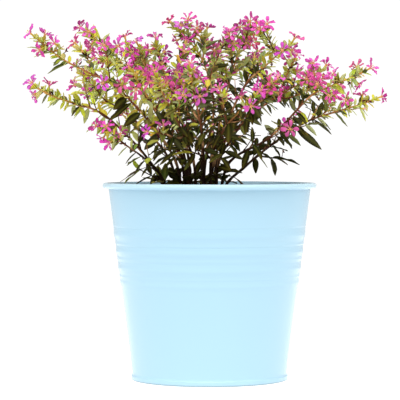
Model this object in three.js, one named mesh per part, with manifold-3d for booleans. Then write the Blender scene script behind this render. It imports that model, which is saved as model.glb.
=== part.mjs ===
import * as THREE from 'three';
import { mergeVertices } from 'three/addons/utils/BufferGeometryUtils.js';
import Module from 'manifold-3d';

// A Mexican heather in a round pot of painted sheet metal, in millimetres with Z up. The origin is on
// the pot's axis, at the level that the pot stands on. X runs across the widest spread of the plant,
// and its front is towards -Y.

// Pot: a straight taper between the foot band and the flared rim, with pressed ribs half way up.
const POT_HEIGHT = 134.4;
const RIM_RADIUS = 73;
// How far in from the rim's radius and down from its top each point of its section lies.
const RIM_SECTION = [
  { inwards: 1.2, down: 2.8 },
  { inwards: 0, down: 1.5 },
  { inwards: 0.9, down: 0 },
  { inwards: 2.2, down: 0.5 },
];
const FOOT_BAND_HEIGHT = 4.4;
const FOOT_RADIUS = 53.6;
const FOOT_ROUNDING = 0.7;
const TAPER_LOW_RADIUS = 52.8;
const TAPER_TOP_HEIGHT = 130.4;
const TAPER_TOP_RADIUS = 68.9;
const WALL_THICKNESS = 1.8;
const HEM_INNER_RADIUS = 49;
const HEM_HEIGHT = 3.2;
const POT_SIDES = 28;
const RIB_CREST_DROP = 1.5;
const RIBS = [
  { top: 103.8, bottom: 95.4, rise: 0.7, dip: 0.7 },
  { top: 91.4, bottom: 84.8, rise: 0.6, dip: 0.7 },
  { top: 80.4, bottom: 72.8, rise: 0.5, dip: 0.5 },
  { top: 69.4, bottom: 63.4, rise: 0.3, dip: 0.2 },
];

// What touches keeps this gap.
const SEAT_GAP = 0.3;
const BOTTOM_THICKNESS = 1.2;
const SOIL_TOP = 117;
const SOIL_CROWN = 1.5;
const HOLE_SIDES = 5;

// Stems stand straight in the soil and just above it.
const STEM_DEPTH = 11;
const STEM_STRAIGHT = 3;

// Stems: where each leaves the soil, and the points that it then passes.
const STEMS = [
  { root: [-19, -2], points: [[-23, -3, 149], [-42, -12, 177], [-63, -22, 199], [-82, -30, 209],
    [-96, -35, 216], [-106, -38, 223]] },
  { root: [-27, 5], points: [[-39, 8, 146], [-59, 14, 169], [-76, 12, 183], [-94, 2, 189],
    [-106, -8, 193]] },
  { root: [-25, -7], points: [[-34, -12, 141], [-45, -22, 152], [-56, -30, 160]] },
  { root: [-16, 4], points: [[-20, 4, 153], [-34, 10, 178], [-51, 18, 204], [-64, 24, 221],
    [-75, 26, 231]] },
  { root: [-14, 11], points: [[-18, 14, 156], [-29, 30, 184], [-42, 42, 206], [-51, 47, 220]] },
  { root: [-12, -5], points: [[-15, -5, 156], [-21, -12, 183], [-29, -16, 205], [-33, -18, 216]] },
  { root: [-5, 2], points: [[-2, 3, 156], [3, 8, 183], [1, 12, 201], [-5, 14, 219], [-14, 14, 232]] },
  { root: [-1, 9], points: [[3, 12, 156], [9, 26, 184], [15, 36, 208], [22, 43, 230]] },
  { root: [-2, -7], points: [[5, -10, 156], [16, -18, 185], [25, -22, 202], [36, -26, 212],
    [45, -28, 220]] },
  { root: [1, 3], points: [[6, 7, 151], [19, 20, 175], [37, 30, 187], [50, 36, 196], [68, 40, 205]] },
  { root: [7, -5], points: [[13, -8, 148], [36, -16, 162], [47, -20, 171], [58, -24, 183],
    [69, -26, 194], [82, -27, 200], [92, -27, 204]] },
  { root: [8, 3], points: [[12, 5, 134], [23, 10, 144], [36, 18, 155], [51, 24, 166], [69, 28, 177],
    [87, 30, 183], [104, 32, 188]] },
  { root: [-14, -13], points: [[-16, -18, 146], [-30, -40, 173], [-43, -56, 195]] },
  { root: [-9, -15], points: [[-11, -22, 150], [-20, -50, 173], [-30, -68, 192]] },
  { root: [-4, -17], points: [[-4, -25, 150], [-6, -56, 173], [-11, -78, 196]] },
  { root: [1, -15], points: [[1, -22, 150], [9, -52, 170], [20, -70, 183]] },
  { root: [5, -11], points: [[6, -17, 148], [19, -40, 171], [34, -54, 190]] },
  { root: [-6, 15], points: [[-5, 25, 156], [-5, 52, 180], [1, 71, 208]] },
  { root: [-21, 10], points: [[-27, 15, 149], [-45, 32, 171], [-64, 45, 186], [-78, 50, 195]] },
];

// Flowering shoots: the stem that bears each, the middle of its flowers, and how many it has. The
// first of a stem grows out of the stem's end and the others stand on side shoots.
const SPRAYS = [
  { stem: 1, centre: [-115, -40, 231], flowers: 3 },
  { stem: 1, centre: [-87, -20, 225], flowers: 2 },
  { stem: 2, centre: [-117, -16, 199], flowers: 3 },
  { stem: 2, centre: [-74, 0, 171], flowers: 2 },
  { stem: 3, centre: [-66, -37, 168], flowers: 3 },
  { stem: 4, centre: [-86, 28, 238], flowers: 3 },
  { stem: 4, centre: [-74, 14, 219], flowers: 2 },
  { stem: 5, centre: [-58, 50, 231], flowers: 3 },
  { stem: 5, centre: [-48, 28, 227], flowers: 2 },
  { stem: 6, centre: [-36, -20, 227], flowers: 3 },
  { stem: 6, centre: [-18, -7, 226], flowers: 2 },
  { stem: 7, centre: [-24, 14, 241], flowers: 3 },
  { stem: 7, centre: [-3, 21, 236], flowers: 3 },
  { stem: 8, centre: [31, 46, 241], flowers: 3 },
  { stem: 8, centre: [14, 30, 233], flowers: 3 },
  { stem: 8, centre: [33, 60, 224], flowers: 2 },
  { stem: 9, centre: [54, -30, 227], flowers: 3 },
  { stem: 9, centre: [30, -8, 215], flowers: 2 },
  { stem: 10, centre: [79, 43, 212], flowers: 3 },
  { stem: 10, centre: [58, 27, 218], flowers: 3 },
  { stem: 10, centre: [73, 18, 199], flowers: 2 },
  { stem: 11, centre: [103, -27, 209], flowers: 3 },
  { stem: 12, centre: [115, 34, 192], flowers: 2 },
  { stem: 12, centre: [88, 38, 197], flowers: 2 },
  { stem: 12, centre: [58, 10, 176], flowers: 2 },
  { stem: 13, centre: [-50, -64, 207], flowers: 3 },
  { stem: 14, centre: [-35, -77, 204], flowers: 3 },
  { stem: 14, centre: [-36, -54, 168], flowers: 2 },
  { stem: 15, centre: [-13, -84, 208], flowers: 3 },
  { stem: 15, centre: [-20, -58, 203], flowers: 2 },
  { stem: 16, centre: [28, -78, 191], flowers: 3 },
  { stem: 16, centre: [8, -66, 192], flowers: 2 },
  { stem: 17, centre: [42, -61, 199], flowers: 3 },
  { stem: 18, centre: [5, 82, 219], flowers: 3 },
  { stem: 18, centre: [-12, 80, 201], flowers: 2 },
  { stem: 18, centre: [-21, 60, 189], flowers: 2 },
  { stem: 19, centre: [-90, 53, 201], flowers: 3 },
  { stem: 19, centre: [-90, 36, 211], flowers: 2 },
];

// Old leaves that hang to the pot's rim: how far up its stem each grows, its tip and how it arches.
const OLD_LEAVES = [
  { stem: 2, from: 44, tip: [-62, 4, 134.5], arch: 0.15, halfWidth: 0.06 },
  { stem: 2, from: 38, tip: [-41, 0, 129], arch: 0.5, halfWidth: 0.14 },
  { stem: 12, from: 36, tip: [27, 14, 127], arch: 0.1, halfWidth: 0.1 },
];

const STEM_BASE_RADIUS = 1.5;
const STEM_TIP_RADIUS = 0.7;
const STEM_SIDES = 5;
const STEM_STEP = 20;
const SHOOT_BASE_RADIUS = 0.95;
const SHOOT_TIP_RADIUS = 0.75;
const SHOOT_SIDES = 3;
const SHOOT_STEP = 12;
const SHOOT_BOW = 0.12;
const LOWEST_FORK = 22;
const SPRAY_AXIS_LENGTH = 9;
const SPRAY_AXIS_RADIUS = 0.9;
const ROUTE_SAMPLES = 48;

// Leafy twigs without flowers, on alternate sides of a stem: a pair of leaves half way along and one
// near the end.
const TWIG_START = 0.42;
const TWIG_STEP = 47;
const TWIG_MARGIN = 12;
const TWIG_LENGTH = [14, 26];
const TWIG_SIDE = 1.4;
const TWIG_WANDER = 0.8;
const TWIG_FORWARD = 0.8;
const TWIG_OUTWARD = 0.9;
const TWIG_RISE = 0.1;
const TWIG_ROOM = 2;
const TWIG_PAIR_AT = 0.5;
const TWIG_END_LEAF_AT = 0.94;

// Leaves: narrow blades with a keel, longer low on the plant than at its tips.
const LEAF_START = 30;
const LEAF_STEP = 40.5;
const LEAF_MARGIN = 3;
const LOW_LEAVES = { height: 130, length: 16 };
const HIGH_LEAVES = { height: 225, length: 10.5 };
const LEAF_LENGTH_SPREAD = [0.85, 1.15];
const LEAF_HALF_WIDTH = 0.16;
const LEAF_KEEL = 0.75;
const LEAF_FORWARD = [0.55, 0.85];
const LEAF_DROOP = [0.08, 0.28];
const LEAF_FACES_TIP = 0.5;
const LEAF_FACES_SKY = 0.8;
const PAIR_WANDER = 0.9;
const SHOOT_PAIR_AT = 0.62;
const LEAF_ROOT_DEPTH = 0.5;
const LEAF_STATIONS = [
  { along: 0.3, width: 0.95, keel: 1.3 },
  { along: 0.66, width: 0.78, keel: 0.9 },
];

// Flowers: a narrow calyx tube and six petals that widen from their foot.
const PETALS = 6;
const CALYX_LENGTH = 6.4;
const CALYX_ROOT_DEPTH = 0.4;
const THROAT_RADIUS = 1.5;
const PETAL_REACH = 5.8;
const PETAL_HALF_WIDTH = 1.75;
const PETAL_CUP = 0.9;
const FLOWER_SWELL = 1.3;
const GOLDEN_ANGLE = THREE.MathUtils.degToRad(137.5);
// The top flower of a spray looks along the shoot and the others look sideways.
const TOP_FLOWER = { along: 0.96, tilt: 0.25 };
const SIDE_FLOWERS = { along: 0.3, step: 0.35, tilt: 1.35 };
const FLOWER_RISE = 0.15;

// Room between what grows on one stem or spray and what grows on another, tested with balls.
const CLEARANCE = 0.45;
const AMPLE_ROOM = 1.2;
const STEM_BALL_STEP = 2.5;
const END_MARGIN = 2;
const AXIS_MARGIN = 1.5;
const LEAF_BALLS = [0.35, 0.55, 0.75, 0.95];
const TWIG_BALLS = [0.5, 0.75, 1];
const PETAL_BALL = { radius: 1.9, out: 0.66, up: 0.6 };
const CALYX_BALLS = [0.6, 1];
const TURNS = [0, 35, -35, 70, -70, 110, -110, 150, -150, 180].map(THREE.MathUtils.degToRad);

const UP = new THREE.Vector3(0, 0, 1);

const wasm = await Module();
wasm.setup();

// Seeded draws: the same keys always give the same number from 0 to 1.
function draw(...keys) {
  let hash = 2166136261;
  for (const key of keys) {
    hash = Math.imul(hash ^ key, 16777619) >>> 0;
    hash = Math.imul(hash ^ (hash >>> 15), 2246822519) >>> 0;
  }
  hash = Math.imul(hash ^ (hash >>> 13), 3266489917) >>> 0;
  hash = (hash ^ (hash >>> 16)) >>> 0;
  return hash / 4294967296;
}

function between([low, high], ...keys) {
  return THREE.MathUtils.lerp(low, high, draw(...keys));
}

// What each number after an owner's own stands for in a draw.
const DRAWS = {
  leafForward: 1,
  leafLength: 2,
  leafDroop: 3,
  leftLeaf: 11,
  rightLeaf: 12,
  twigLength: 21,
  twigTurn: 22,
  twigPair: 31,
  twigEnd: 32,
  stemPair: 41,
  sprayTurn: 51,
  flowerTurn: 52,
  shootPair: 61,
};

// Directions and routes

function vector([x, y, z]) {
  return new THREE.Vector3(x, y, z);
}

function squareTo(direction, axis) {
  return direction.clone().addScaledVector(axis, -direction.dot(axis)).normalize();
}

// A unit vector square to the axis, turned about it from the upper side.
function aroundAxis(axis, angle) {
  const reference = Math.abs(axis.z) < 0.95 ? UP : new THREE.Vector3(0, 1, 0);
  return squareTo(reference, axis).applyAxisAngle(axis, angle);
}

class Route {
  constructor(controls) {
    this.points = new THREE.CatmullRomCurve3(controls, false, 'catmullrom', 0.5).getPoints(ROUTE_SAMPLES);
    this.distances = [0];
    for (let i = 1; i < this.points.length; i += 1) {
      this.distances.push(this.distances[i - 1] + this.points[i].distanceTo(this.points[i - 1]));
    }
    this.length = this.distances[ROUTE_SAMPLES];
  }

  at(distance) {
    const wanted = THREE.MathUtils.clamp(distance, 0, this.length);
    let i = 1;
    while (i < ROUTE_SAMPLES && this.distances[i] < wanted) {
      i += 1;
    }
    const [start, end] = [this.points[i - 1], this.points[i]];
    const share = (wanted - this.distances[i - 1]) / (this.distances[i] - this.distances[i - 1]);
    return {
      point: start.clone().lerp(end, share),
      tangent: end.clone().sub(start).normalize(),
    };
  }

  nearestDistance(target) {
    let nearest = 0;
    this.points.forEach((point, i) => {
      if (point.distanceTo(target) < this.points[nearest].distanceTo(target)) {
        nearest = i;
      }
    });
    return this.distances[nearest];
  }
}

// Solids

function geometryOf(corners, faces) {
  const geometry = new THREE.BufferGeometry();
  const positions = corners.flatMap((corner) => corner.toArray());
  geometry.setAttribute('position', new THREE.Float32BufferAttribute(positions, 3));
  geometry.setIndex(faces.flat());
  return geometry;
}

function solidOf(geometry) {
  const bare = geometry.clone();
  bare.deleteAttribute('normal');
  bare.deleteAttribute('uv');
  const merged = mergeVertices(bare, 1e-4);
  const mesh = new wasm.Mesh({
    numProp: 3,
    vertProperties: new Float32Array(merged.attributes.position.array),
    triVerts: new Uint32Array(merged.index.array),
  });
  return new wasm.Manifold(mesh);
}

function geometryFromSolid(solid) {
  const mesh = solid.getMesh();
  const geometry = new THREE.BufferGeometry();
  geometry.setAttribute('position', new THREE.BufferAttribute(new Float32Array(mesh.vertProperties), 3));
  geometry.setIndex(new THREE.BufferAttribute(new Uint32Array(mesh.triVerts), 1));
  return geometry;
}

function fuse(geometries) {
  let solid = solidOf(geometries[0]);
  for (const geometry of geometries.slice(1)) {
    solid = solid.add(solidOf(geometry));
  }
  return geometryFromSolid(solid);
}

// Joins rings of corners into a closed skin. A ring of one corner is a point.
function loft(rings) {
  const corners = rings.flat();
  const faces = [];
  let first = 0;
  for (let r = 0; r + 1 < rings.length; r += 1) {
    const next = first + rings[r].length;
    const count = Math.max(rings[r].length, rings[r + 1].length);
    for (let i = 0; i < count; i += 1) {
      const j = (i + 1) % count;
      if (rings[r].length === 1) {
        faces.push([first, next + j, next + i]);
      } else if (rings[r + 1].length === 1) {
        faces.push([first + i, first + j, next]);
      } else {
        faces.push([first + i, first + j, next + j], [first + i, next + j, next + i]);
      }
    }
    first = next;
  }
  for (let i = 1; i + 1 < rings[0].length; i += 1) {
    faces.push([0, i + 1, i]);
  }
  const last = rings[rings.length - 1];
  for (let i = 1; i + 1 < last.length; i += 1) {
    faces.push([first, first + i, first + i + 1]);
  }
  return geometryOf(corners, faces);
}

// A round stretch of stem with its sections at the given distances along a route.
function rod(route, stations, sides, radiusAt) {
  let side = null;
  const rings = stations.map((distance) => {
    const { point, tangent } = route.at(distance);
    side = side ? squareTo(side, tangent) : aroundAxis(tangent, 0);
    const radius = radiusAt(distance);
    return Array.from({ length: sides }, (_, i) => {
      const turn = side.clone().applyAxisAngle(tangent, (2 * Math.PI * i) / sides);
      return point.clone().addScaledVector(turn, radius);
    });
  });
  return loft(rings);
}

// Space that is taken, as balls that each belong to a stem or a spray. What grows on a stem keeps
// clear of the others' wood, leaves and flowers, and of the stem's own leaves and flowers.
const taken = [];

function take(owner, centres, radius, isWood = false) {
  centres.forEach((centre) => taken.push({ owner, centre, radius, isWood }));
}

function room(owner, centres, radius) {
  let least = Infinity;
  for (const ball of taken) {
    if (ball.owner !== owner || !ball.isWood) {
      for (const centre of centres) {
        least = Math.min(least, ball.centre.distanceTo(centre) - ball.radius - radius);
      }
    }
  }
  return least;
}

function takeAlong(owner, route, from, to, radius) {
  for (let distance = from; distance < to; distance += STEM_BALL_STEP) {
    take(owner, [route.at(distance).point], radius, true);
  }
}

// Pot

function taperRadius(height) {
  const share = (height - FOOT_BAND_HEIGHT) / (TAPER_TOP_HEIGHT - FOOT_BAND_HEIGHT);
  return TAPER_LOW_RADIUS + share * (TAPER_TOP_RADIUS - TAPER_LOW_RADIUS);
}

function onTaper(height, rise) {
  return new THREE.Vector2(taperRadius(height) + rise, height);
}

function revolve(profile) {
  const geometry = new THREE.LatheGeometry(profile, POT_SIDES);
  return geometry.rotateX(Math.PI / 2);
}

function ribProfile() {
  return [...RIBS].reverse().flatMap((rib) => [
    onTaper(rib.bottom, -rib.dip),
    onTaper(rib.top - RIB_CREST_DROP, rib.rise),
    onTaper(rib.top, 0),
  ]);
}

function potWall() {
  const innerFoot = taperRadius(HEM_HEIGHT) - WALL_THICKNESS;
  const rim = RIM_SECTION.map(({ inwards, down }) =>
    new THREE.Vector2(RIM_RADIUS - inwards, POT_HEIGHT - down));
  const profile = [
    new THREE.Vector2(HEM_INNER_RADIUS, 0),
    new THREE.Vector2(FOOT_RADIUS - FOOT_ROUNDING, 0),
    new THREE.Vector2(FOOT_RADIUS, FOOT_ROUNDING),
    new THREE.Vector2(FOOT_RADIUS, FOOT_BAND_HEIGHT - FOOT_ROUNDING),
    onTaper(FOOT_BAND_HEIGHT, 0),
    ...ribProfile(),
    onTaper(TAPER_TOP_HEIGHT, 0),
    ...rim,
    onTaper(TAPER_TOP_HEIGHT, -WALL_THICKNESS),
    new THREE.Vector2(innerFoot, HEM_HEIGHT),
    new THREE.Vector2(HEM_INNER_RADIUS, HEM_HEIGHT),
    new THREE.Vector2(HEM_INNER_RADIUS, 0),
  ];
  return geometryFromSolid(solidOf(revolve(profile)));
}

function potBottom() {
  const radius = taperRadius(HEM_HEIGHT) - WALL_THICKNESS - SEAT_GAP;
  const geometry = new THREE.CylinderGeometry(radius, radius, BOTTOM_THICKNESS, POT_SIDES);
  geometry.rotateX(Math.PI / 2);
  geometry.translate(0, 0, HEM_HEIGHT + SEAT_GAP + BOTTOM_THICKNESS / 2);
  return geometryFromSolid(solidOf(geometry));
}

function soil() {
  const low = HEM_HEIGHT + BOTTOM_THICKNESS + 2 * SEAT_GAP;
  const inset = -WALL_THICKNESS - SEAT_GAP;
  const profile = [
    new THREE.Vector2(0, low),
    onTaper(low, inset),
    onTaper(SOIL_TOP, inset),
    new THREE.Vector2(0, SOIL_TOP + SOIL_CROWN),
  ];
  let solid = solidOf(revolve(profile));
  const floor = SOIL_TOP - STEM_DEPTH - SEAT_GAP;
  const radius = (STEM_BASE_RADIUS + SEAT_GAP) / Math.cos(Math.PI / HOLE_SIDES);
  for (const { root } of STEMS) {
    const hole = new THREE.CylinderGeometry(radius, radius, 2 * STEM_DEPTH, HOLE_SIDES);
    hole.rotateX(Math.PI / 2);
    hole.translate(root[0], root[1], floor + STEM_DEPTH);
    solid = solid.subtract(solidOf(hole));
  }
  return geometryFromSolid(solid);
}

// Plant

function stemRoute({ root, points }) {
  const [x, y] = root;
  const foot = [[x, y, SOIL_TOP - STEM_DEPTH], [x, y, SOIL_TOP + STEM_STRAIGHT]];
  return new Route([...foot, ...points].map(vector));
}

function stemSolid(route) {
  const straight = STEM_DEPTH + STEM_STRAIGHT;
  const steps = Math.round((route.length - straight) / STEM_STEP);
  const stations = [0];
  for (let i = 0; i <= steps; i += 1) {
    stations.push(straight + ((route.length - straight) * i) / steps);
  }
  const radiusAt = (distance) => {
    const share = Math.max(0, distance - straight) / (route.length - straight);
    return THREE.MathUtils.lerp(STEM_BASE_RADIUS, STEM_TIP_RADIUS, share);
  };
  return rod(route, stations, STEM_SIDES, radiusAt);
}

// A side shoot leaves its stem at about forty-five degrees and bows upwards.
function shootRoute(stem, end) {
  const nearest = stem.nearestDistance(end);
  const reach = stem.at(nearest).point.distanceTo(end);
  const start = stem.at(Math.max(LOWEST_FORK, nearest - reach)).point;
  const middle = start.clone().lerp(end, 0.5);
  middle.z -= SHOOT_BOW * start.distanceTo(end);
  return new Route([start, middle, end]);
}

function shootSolid(route) {
  const steps = Math.max(2, Math.round(route.length / SHOOT_STEP));
  const stations = Array.from({ length: steps + 1 }, (_, i) => (route.length * i) / steps);
  const radiusAt = (distance) =>
    THREE.MathUtils.lerp(SHOOT_BASE_RADIUS, SHOOT_TIP_RADIUS, distance / route.length);
  return rod(route, stations, SHOOT_SIDES, radiusAt);
}

function leafPoint(leaf, along) {
  const point = leaf.foot.clone().addScaledVector(leaf.direction, leaf.length * along);
  point.z -= leaf.droop * leaf.length * along * along;
  return point;
}

function leafSolid(leaf) {
  const side = new THREE.Vector3().crossVectors(leaf.direction, leaf.face).normalize();
  const half = leaf.halfWidth * leaf.length;
  const rings = LEAF_STATIONS.map(({ along, width, keel }) => {
    const middle = leafPoint(leaf, along);
    return [
      middle.clone().addScaledVector(side, half * width),
      middle.clone().addScaledVector(leaf.face, -LEAF_KEEL * keel),
      middle.clone().addScaledVector(side, -half * width),
    ];
  });
  const root = leaf.foot.clone().addScaledVector(leaf.direction, -LEAF_ROOT_DEPTH);
  return loft([[root], ...rings, [leafPoint(leaf, 1)]]);
}

function leafBalls(leaf) {
  return LEAF_BALLS.map((along) => leafPoint(leaf, along));
}

// The upper face of a leaf looks partly to the stem's tip and partly to the sky.
function leafFace(direction, tangent) {
  const lean = tangent.clone().multiplyScalar(LEAF_FACES_TIP).addScaledVector(UP, LEAF_FACES_SKY);
  return squareTo(lean, direction);
}

// Grows one leaf, turned about its stem until it is clear of what has grown before.
function growLeaf(owner, route, distance, angle, keys) {
  const { point, tangent } = route.at(distance);
  const height = THREE.MathUtils.smoothstep(point.z, LOW_LEAVES.height, HIGH_LEAVES.height);
  const size = THREE.MathUtils.lerp(LOW_LEAVES.length, HIGH_LEAVES.length, height);
  for (const turn of TURNS) {
    const direction = tangent.clone().multiplyScalar(between(LEAF_FORWARD, ...keys, DRAWS.leafForward));
    direction.add(aroundAxis(tangent, angle + turn)).normalize();
    const leaf = {
      foot: point,
      direction,
      face: leafFace(direction, tangent),
      length: size * between(LEAF_LENGTH_SPREAD, ...keys, DRAWS.leafLength),
      droop: between(LEAF_DROOP, ...keys, DRAWS.leafDroop),
      halfWidth: LEAF_HALF_WIDTH,
    };
    const balls = leafBalls(leaf);
    const radius = leaf.length * leaf.halfWidth;
    if (room(owner, balls, radius) > CLEARANCE) {
      take(owner, balls, radius);
      return [leafSolid(leaf)];
    }
  }
  return [];
}

function growPair(owner, route, distance, index, key) {
  const angle = (index % 2 ? 0.5 : 0) * Math.PI + PAIR_WANDER * draw(owner, key, index);
  return [
    ...growLeaf(owner, route, distance, angle + 0.5 * Math.PI, [owner, key, index, DRAWS.leftLeaf]),
    ...growLeaf(owner, route, distance, angle - 0.5 * Math.PI, [owner, key, index, DRAWS.rightLeaf]),
  ];
}

function growOldLeaf(owner, route, { from, tip, arch, halfWidth }) {
  const { point, tangent } = route.at(from);
  const reach = vector(tip).sub(point);
  const length = reach.length();
  reach.z += arch * length;
  const direction = reach.clone().normalize();
  const leaf = {
    foot: point,
    direction,
    face: leafFace(direction, tangent),
    length: reach.length(),
    droop: (arch * length) / reach.length(),
    halfWidth,
  };
  take(owner, leafBalls(leaf), leaf.length * halfWidth);
  return leafSolid(leaf);
}

// Tries directions for a twig from a point of its stem until one is clear.
function twigRoute(owner, stem, distance, first, length) {
  const { point, tangent } = stem.at(distance);
  for (const turn of TURNS) {
    const direction = tangent.clone().multiplyScalar(TWIG_FORWARD);
    direction.addScaledVector(aroundAxis(tangent, first + turn), TWIG_OUTWARD).normalize();
    const end = point.clone().addScaledVector(direction, length);
    end.z += TWIG_RISE * length;
    const twig = new Route([point, point.clone().lerp(end, 0.5), end]);
    const balls = TWIG_BALLS.map((share) => twig.at(share * twig.length).point);
    if (room(owner, balls, TWIG_ROOM) > CLEARANCE) {
      return twig;
    }
  }
  return null;
}

function growTwigs(owner, stem) {
  const solids = [];
  let index = 0;
  for (let from = stem.length * TWIG_START; from < stem.length - TWIG_MARGIN; from += TWIG_STEP) {
    index += 1;
    const side = index % 2 ? TWIG_SIDE : -TWIG_SIDE;
    const first = side + TWIG_WANDER * draw(owner, index, DRAWS.twigTurn);
    const length = between(TWIG_LENGTH, owner, index, DRAWS.twigLength);
    const twig = twigRoute(owner, stem, from, first, length);
    if (twig) {
      const [pairAt, leafAt] = [twig.length * TWIG_PAIR_AT, twig.length * TWIG_END_LEAF_AT];
      takeAlong(owner, twig, 0, twig.length, SHOOT_BASE_RADIUS);
      solids.push(shootSolid(twig));
      solids.push(...growPair(owner, twig, pairAt, index, DRAWS.twigPair));
      solids.push(...growLeaf(owner, twig, leafAt, first, [owner, index, DRAWS.twigEnd]));
    }
  }
  return solids;
}

function growLeaves(owner, route) {
  const solids = [];
  let index = 0;
  for (let distance = LEAF_START; distance < route.length - LEAF_MARGIN; distance += LEAF_STEP) {
    index += 1;
    solids.push(...growPair(owner, route, distance, index, DRAWS.stemPair));
  }
  return solids;
}

// Gives a function that places a point by its angle, radius and height about a flower's axis.
function flowerFrame({ foot, direction, turn }) {
  const side = aroundAxis(direction, turn);
  const across = new THREE.Vector3().crossVectors(direction, side);
  return (angle, radius, height) => foot.clone()
    .addScaledVector(side, radius * Math.cos(angle))
    .addScaledVector(across, radius * Math.sin(angle))
    .addScaledVector(direction, height);
}

function flowerSolid(flower) {
  const place = flowerFrame(flower);
  const corners = [place(0, 0, CALYX_LENGTH + FLOWER_SWELL)];
  const faces = [];
  const sector = (2 * Math.PI) / PETALS;
  const spread = Math.atan(PETAL_HALF_WIDTH / PETAL_REACH);
  for (let i = 0; i < PETALS; i += 1) {
    const angle = i * sector;
    corners.push(
      place(angle - sector / 2, THROAT_RADIUS, CALYX_LENGTH),
      place(angle - spread, PETAL_REACH, CALYX_LENGTH + PETAL_CUP),
      place(angle + spread, PETAL_REACH, CALYX_LENGTH + PETAL_CUP),
    );
  }
  const root = corners.length;
  corners.push(place(0, 0, -CALYX_ROOT_DEPTH));
  for (let i = 0; i < PETALS; i += 1) {
    const [notch, left, right] = [1, 2, 3].map((k) => k + 3 * i);
    const nextNotch = 1 + 3 * ((i + 1) % PETALS);
    faces.push([0, notch, left], [0, left, right], [0, right, nextNotch]);
    faces.push([notch, right, left], [notch, nextNotch, right], [notch, root, nextNotch]);
  }
  return geometryOf(corners, faces);
}

function flowerBalls(flower) {
  const place = flowerFrame(flower);
  const balls = CALYX_BALLS.map((share) => place(0, 0, CALYX_LENGTH * share));
  for (let i = 0; i < PETALS; i += 1) {
    const angle = (2 * Math.PI * i) / PETALS;
    balls.push(place(angle, PETAL_REACH * PETAL_BALL.out, CALYX_LENGTH + PETAL_CUP * PETAL_BALL.up));
  }
  return balls;
}

// Turns a flower about its shoot to where it has most room.
function roomiestFlower(owner, { point, tangent }, tilt, first, turn) {
  let best = { space: -Infinity };
  for (const step of TURNS) {
    const direction = tangent.clone().multiplyScalar(Math.cos(tilt));
    direction.addScaledVector(aroundAxis(tangent, first + step), Math.sin(tilt));
    direction.addScaledVector(UP, FLOWER_RISE).normalize();
    const flower = { foot: point, direction, turn };
    const space = Math.min(AMPLE_ROOM, room(owner, flowerBalls(flower), PETAL_BALL.radius));
    if (space > best.space) {
      best = { space, flower };
    }
  }
  return best.flower;
}

function growSpray(owner, axis, count) {
  const solids = [rod(axis, [0, axis.length], SHOOT_SIDES, () => SPRAY_AXIS_RADIUS)];
  for (let i = 0; i < count; i += 1) {
    const isTop = i === count - 1;
    const along = isTop ? TOP_FLOWER.along : SIDE_FLOWERS.along + SIDE_FLOWERS.step * i;
    const tilt = isTop ? TOP_FLOWER.tilt : SIDE_FLOWERS.tilt;
    const first = i * GOLDEN_ANGLE + 2 * Math.PI * draw(owner, DRAWS.sprayTurn);
    const turn = 2 * Math.PI * draw(owner, i, DRAWS.flowerTurn);
    const flower = roomiestFlower(owner, axis.at(axis.length * along), tilt, first, turn);
    take(owner, flowerBalls(flower), PETAL_BALL.radius);
    solids.push(flowerSolid(flower));
  }
  return fuse(solids);
}

// Assembly

const COLOURS = {
  paint: new THREE.MeshStandardMaterial({ color: 0xb9e3f6, roughness: 0.3, metalness: 0.1 }),
  soil: new THREE.MeshStandardMaterial({ color: 0x3a2a1e, roughness: 0.95, metalness: 0 }),
  leaf: new THREE.MeshStandardMaterial({ color: 0x5e7b2a, roughness: 0.6, metalness: 0 }),
  petal: new THREE.MeshStandardMaterial({ color: 0xd23aa8, roughness: 0.6, metalness: 0 }),
};

const part = new THREE.Group();

function addPiece(name, geometry, material) {
  const piece = new THREE.Mesh(geometry, material);
  piece.name = name;
  part.add(piece);
}

function numbered(name, index) {
  return `${name}_${String(index).padStart(2, '0')}`;
}

// Stems own numbers from 1, and sprays own numbers from 101.
const SPRAY_OWNERS = 101;
const stemRoutes = STEMS.map(stemRoute);

// The side shoot that bears each spray, if it has one, and the spray's own axis beyond it.
const shoots = SPRAYS.map(({ stem, centre }, i) => {
  const route = stemRoutes[stem - 1];
  const middle = vector(centre);
  const tip = route.points[ROUTE_SAMPLES];
  const atTip = i === 0 || SPRAYS[i - 1].stem !== stem;
  const fork = atTip ? tip : shootRoute(route, middle).points[0];
  const heading = middle.clone().sub(atTip ? tip : fork).normalize();
  const base = atTip ? tip.clone() : middle.clone().addScaledVector(heading, -SPRAY_AXIS_LENGTH);
  const start = base.clone().addScaledVector(heading, SEAT_GAP);
  return {
    shoot: atTip ? null : shootRoute(route, base),
    axis: new Route([start, start.clone().lerp(middle, 0.5), middle]),
  };
});

stemRoutes.forEach((route, i) => {
  takeAlong(i + 1, route, 0, route.length - END_MARGIN, STEM_BASE_RADIUS);
});
shoots.forEach(({ shoot, axis }, i) => {
  if (shoot) {
    takeAlong(SPRAYS[i].stem, shoot, 0, shoot.length - END_MARGIN, SHOOT_BASE_RADIUS);
  }
  takeAlong(SPRAY_OWNERS + i, axis, AXIS_MARGIN, axis.length, SPRAY_AXIS_RADIUS);
});

const sprayGeometries = SPRAYS.map(({ flowers }, i) => growSpray(SPRAY_OWNERS + i, shoots[i].axis, flowers));

function growShoots(owner) {
  const solids = [];
  shoots.forEach(({ shoot }, i) => {
    if (shoot && SPRAYS[i].stem === owner) {
      solids.push(shootSolid(shoot));
      solids.push(...growPair(owner, shoot, shoot.length * SHOOT_PAIR_AT, i, DRAWS.shootPair));
    }
  });
  return solids;
}

const stemGeometries = stemRoutes.map((route, i) => {
  const owner = i + 1;
  const oldLeaves = OLD_LEAVES.filter(({ stem }) => stem === owner);
  return fuse([
    stemSolid(route),
    ...growShoots(owner),
    ...oldLeaves.map((leaf) => growOldLeaf(owner, route, leaf)),
    ...growLeaves(owner, route),
    ...growTwigs(owner, route),
  ]);
});

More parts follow.
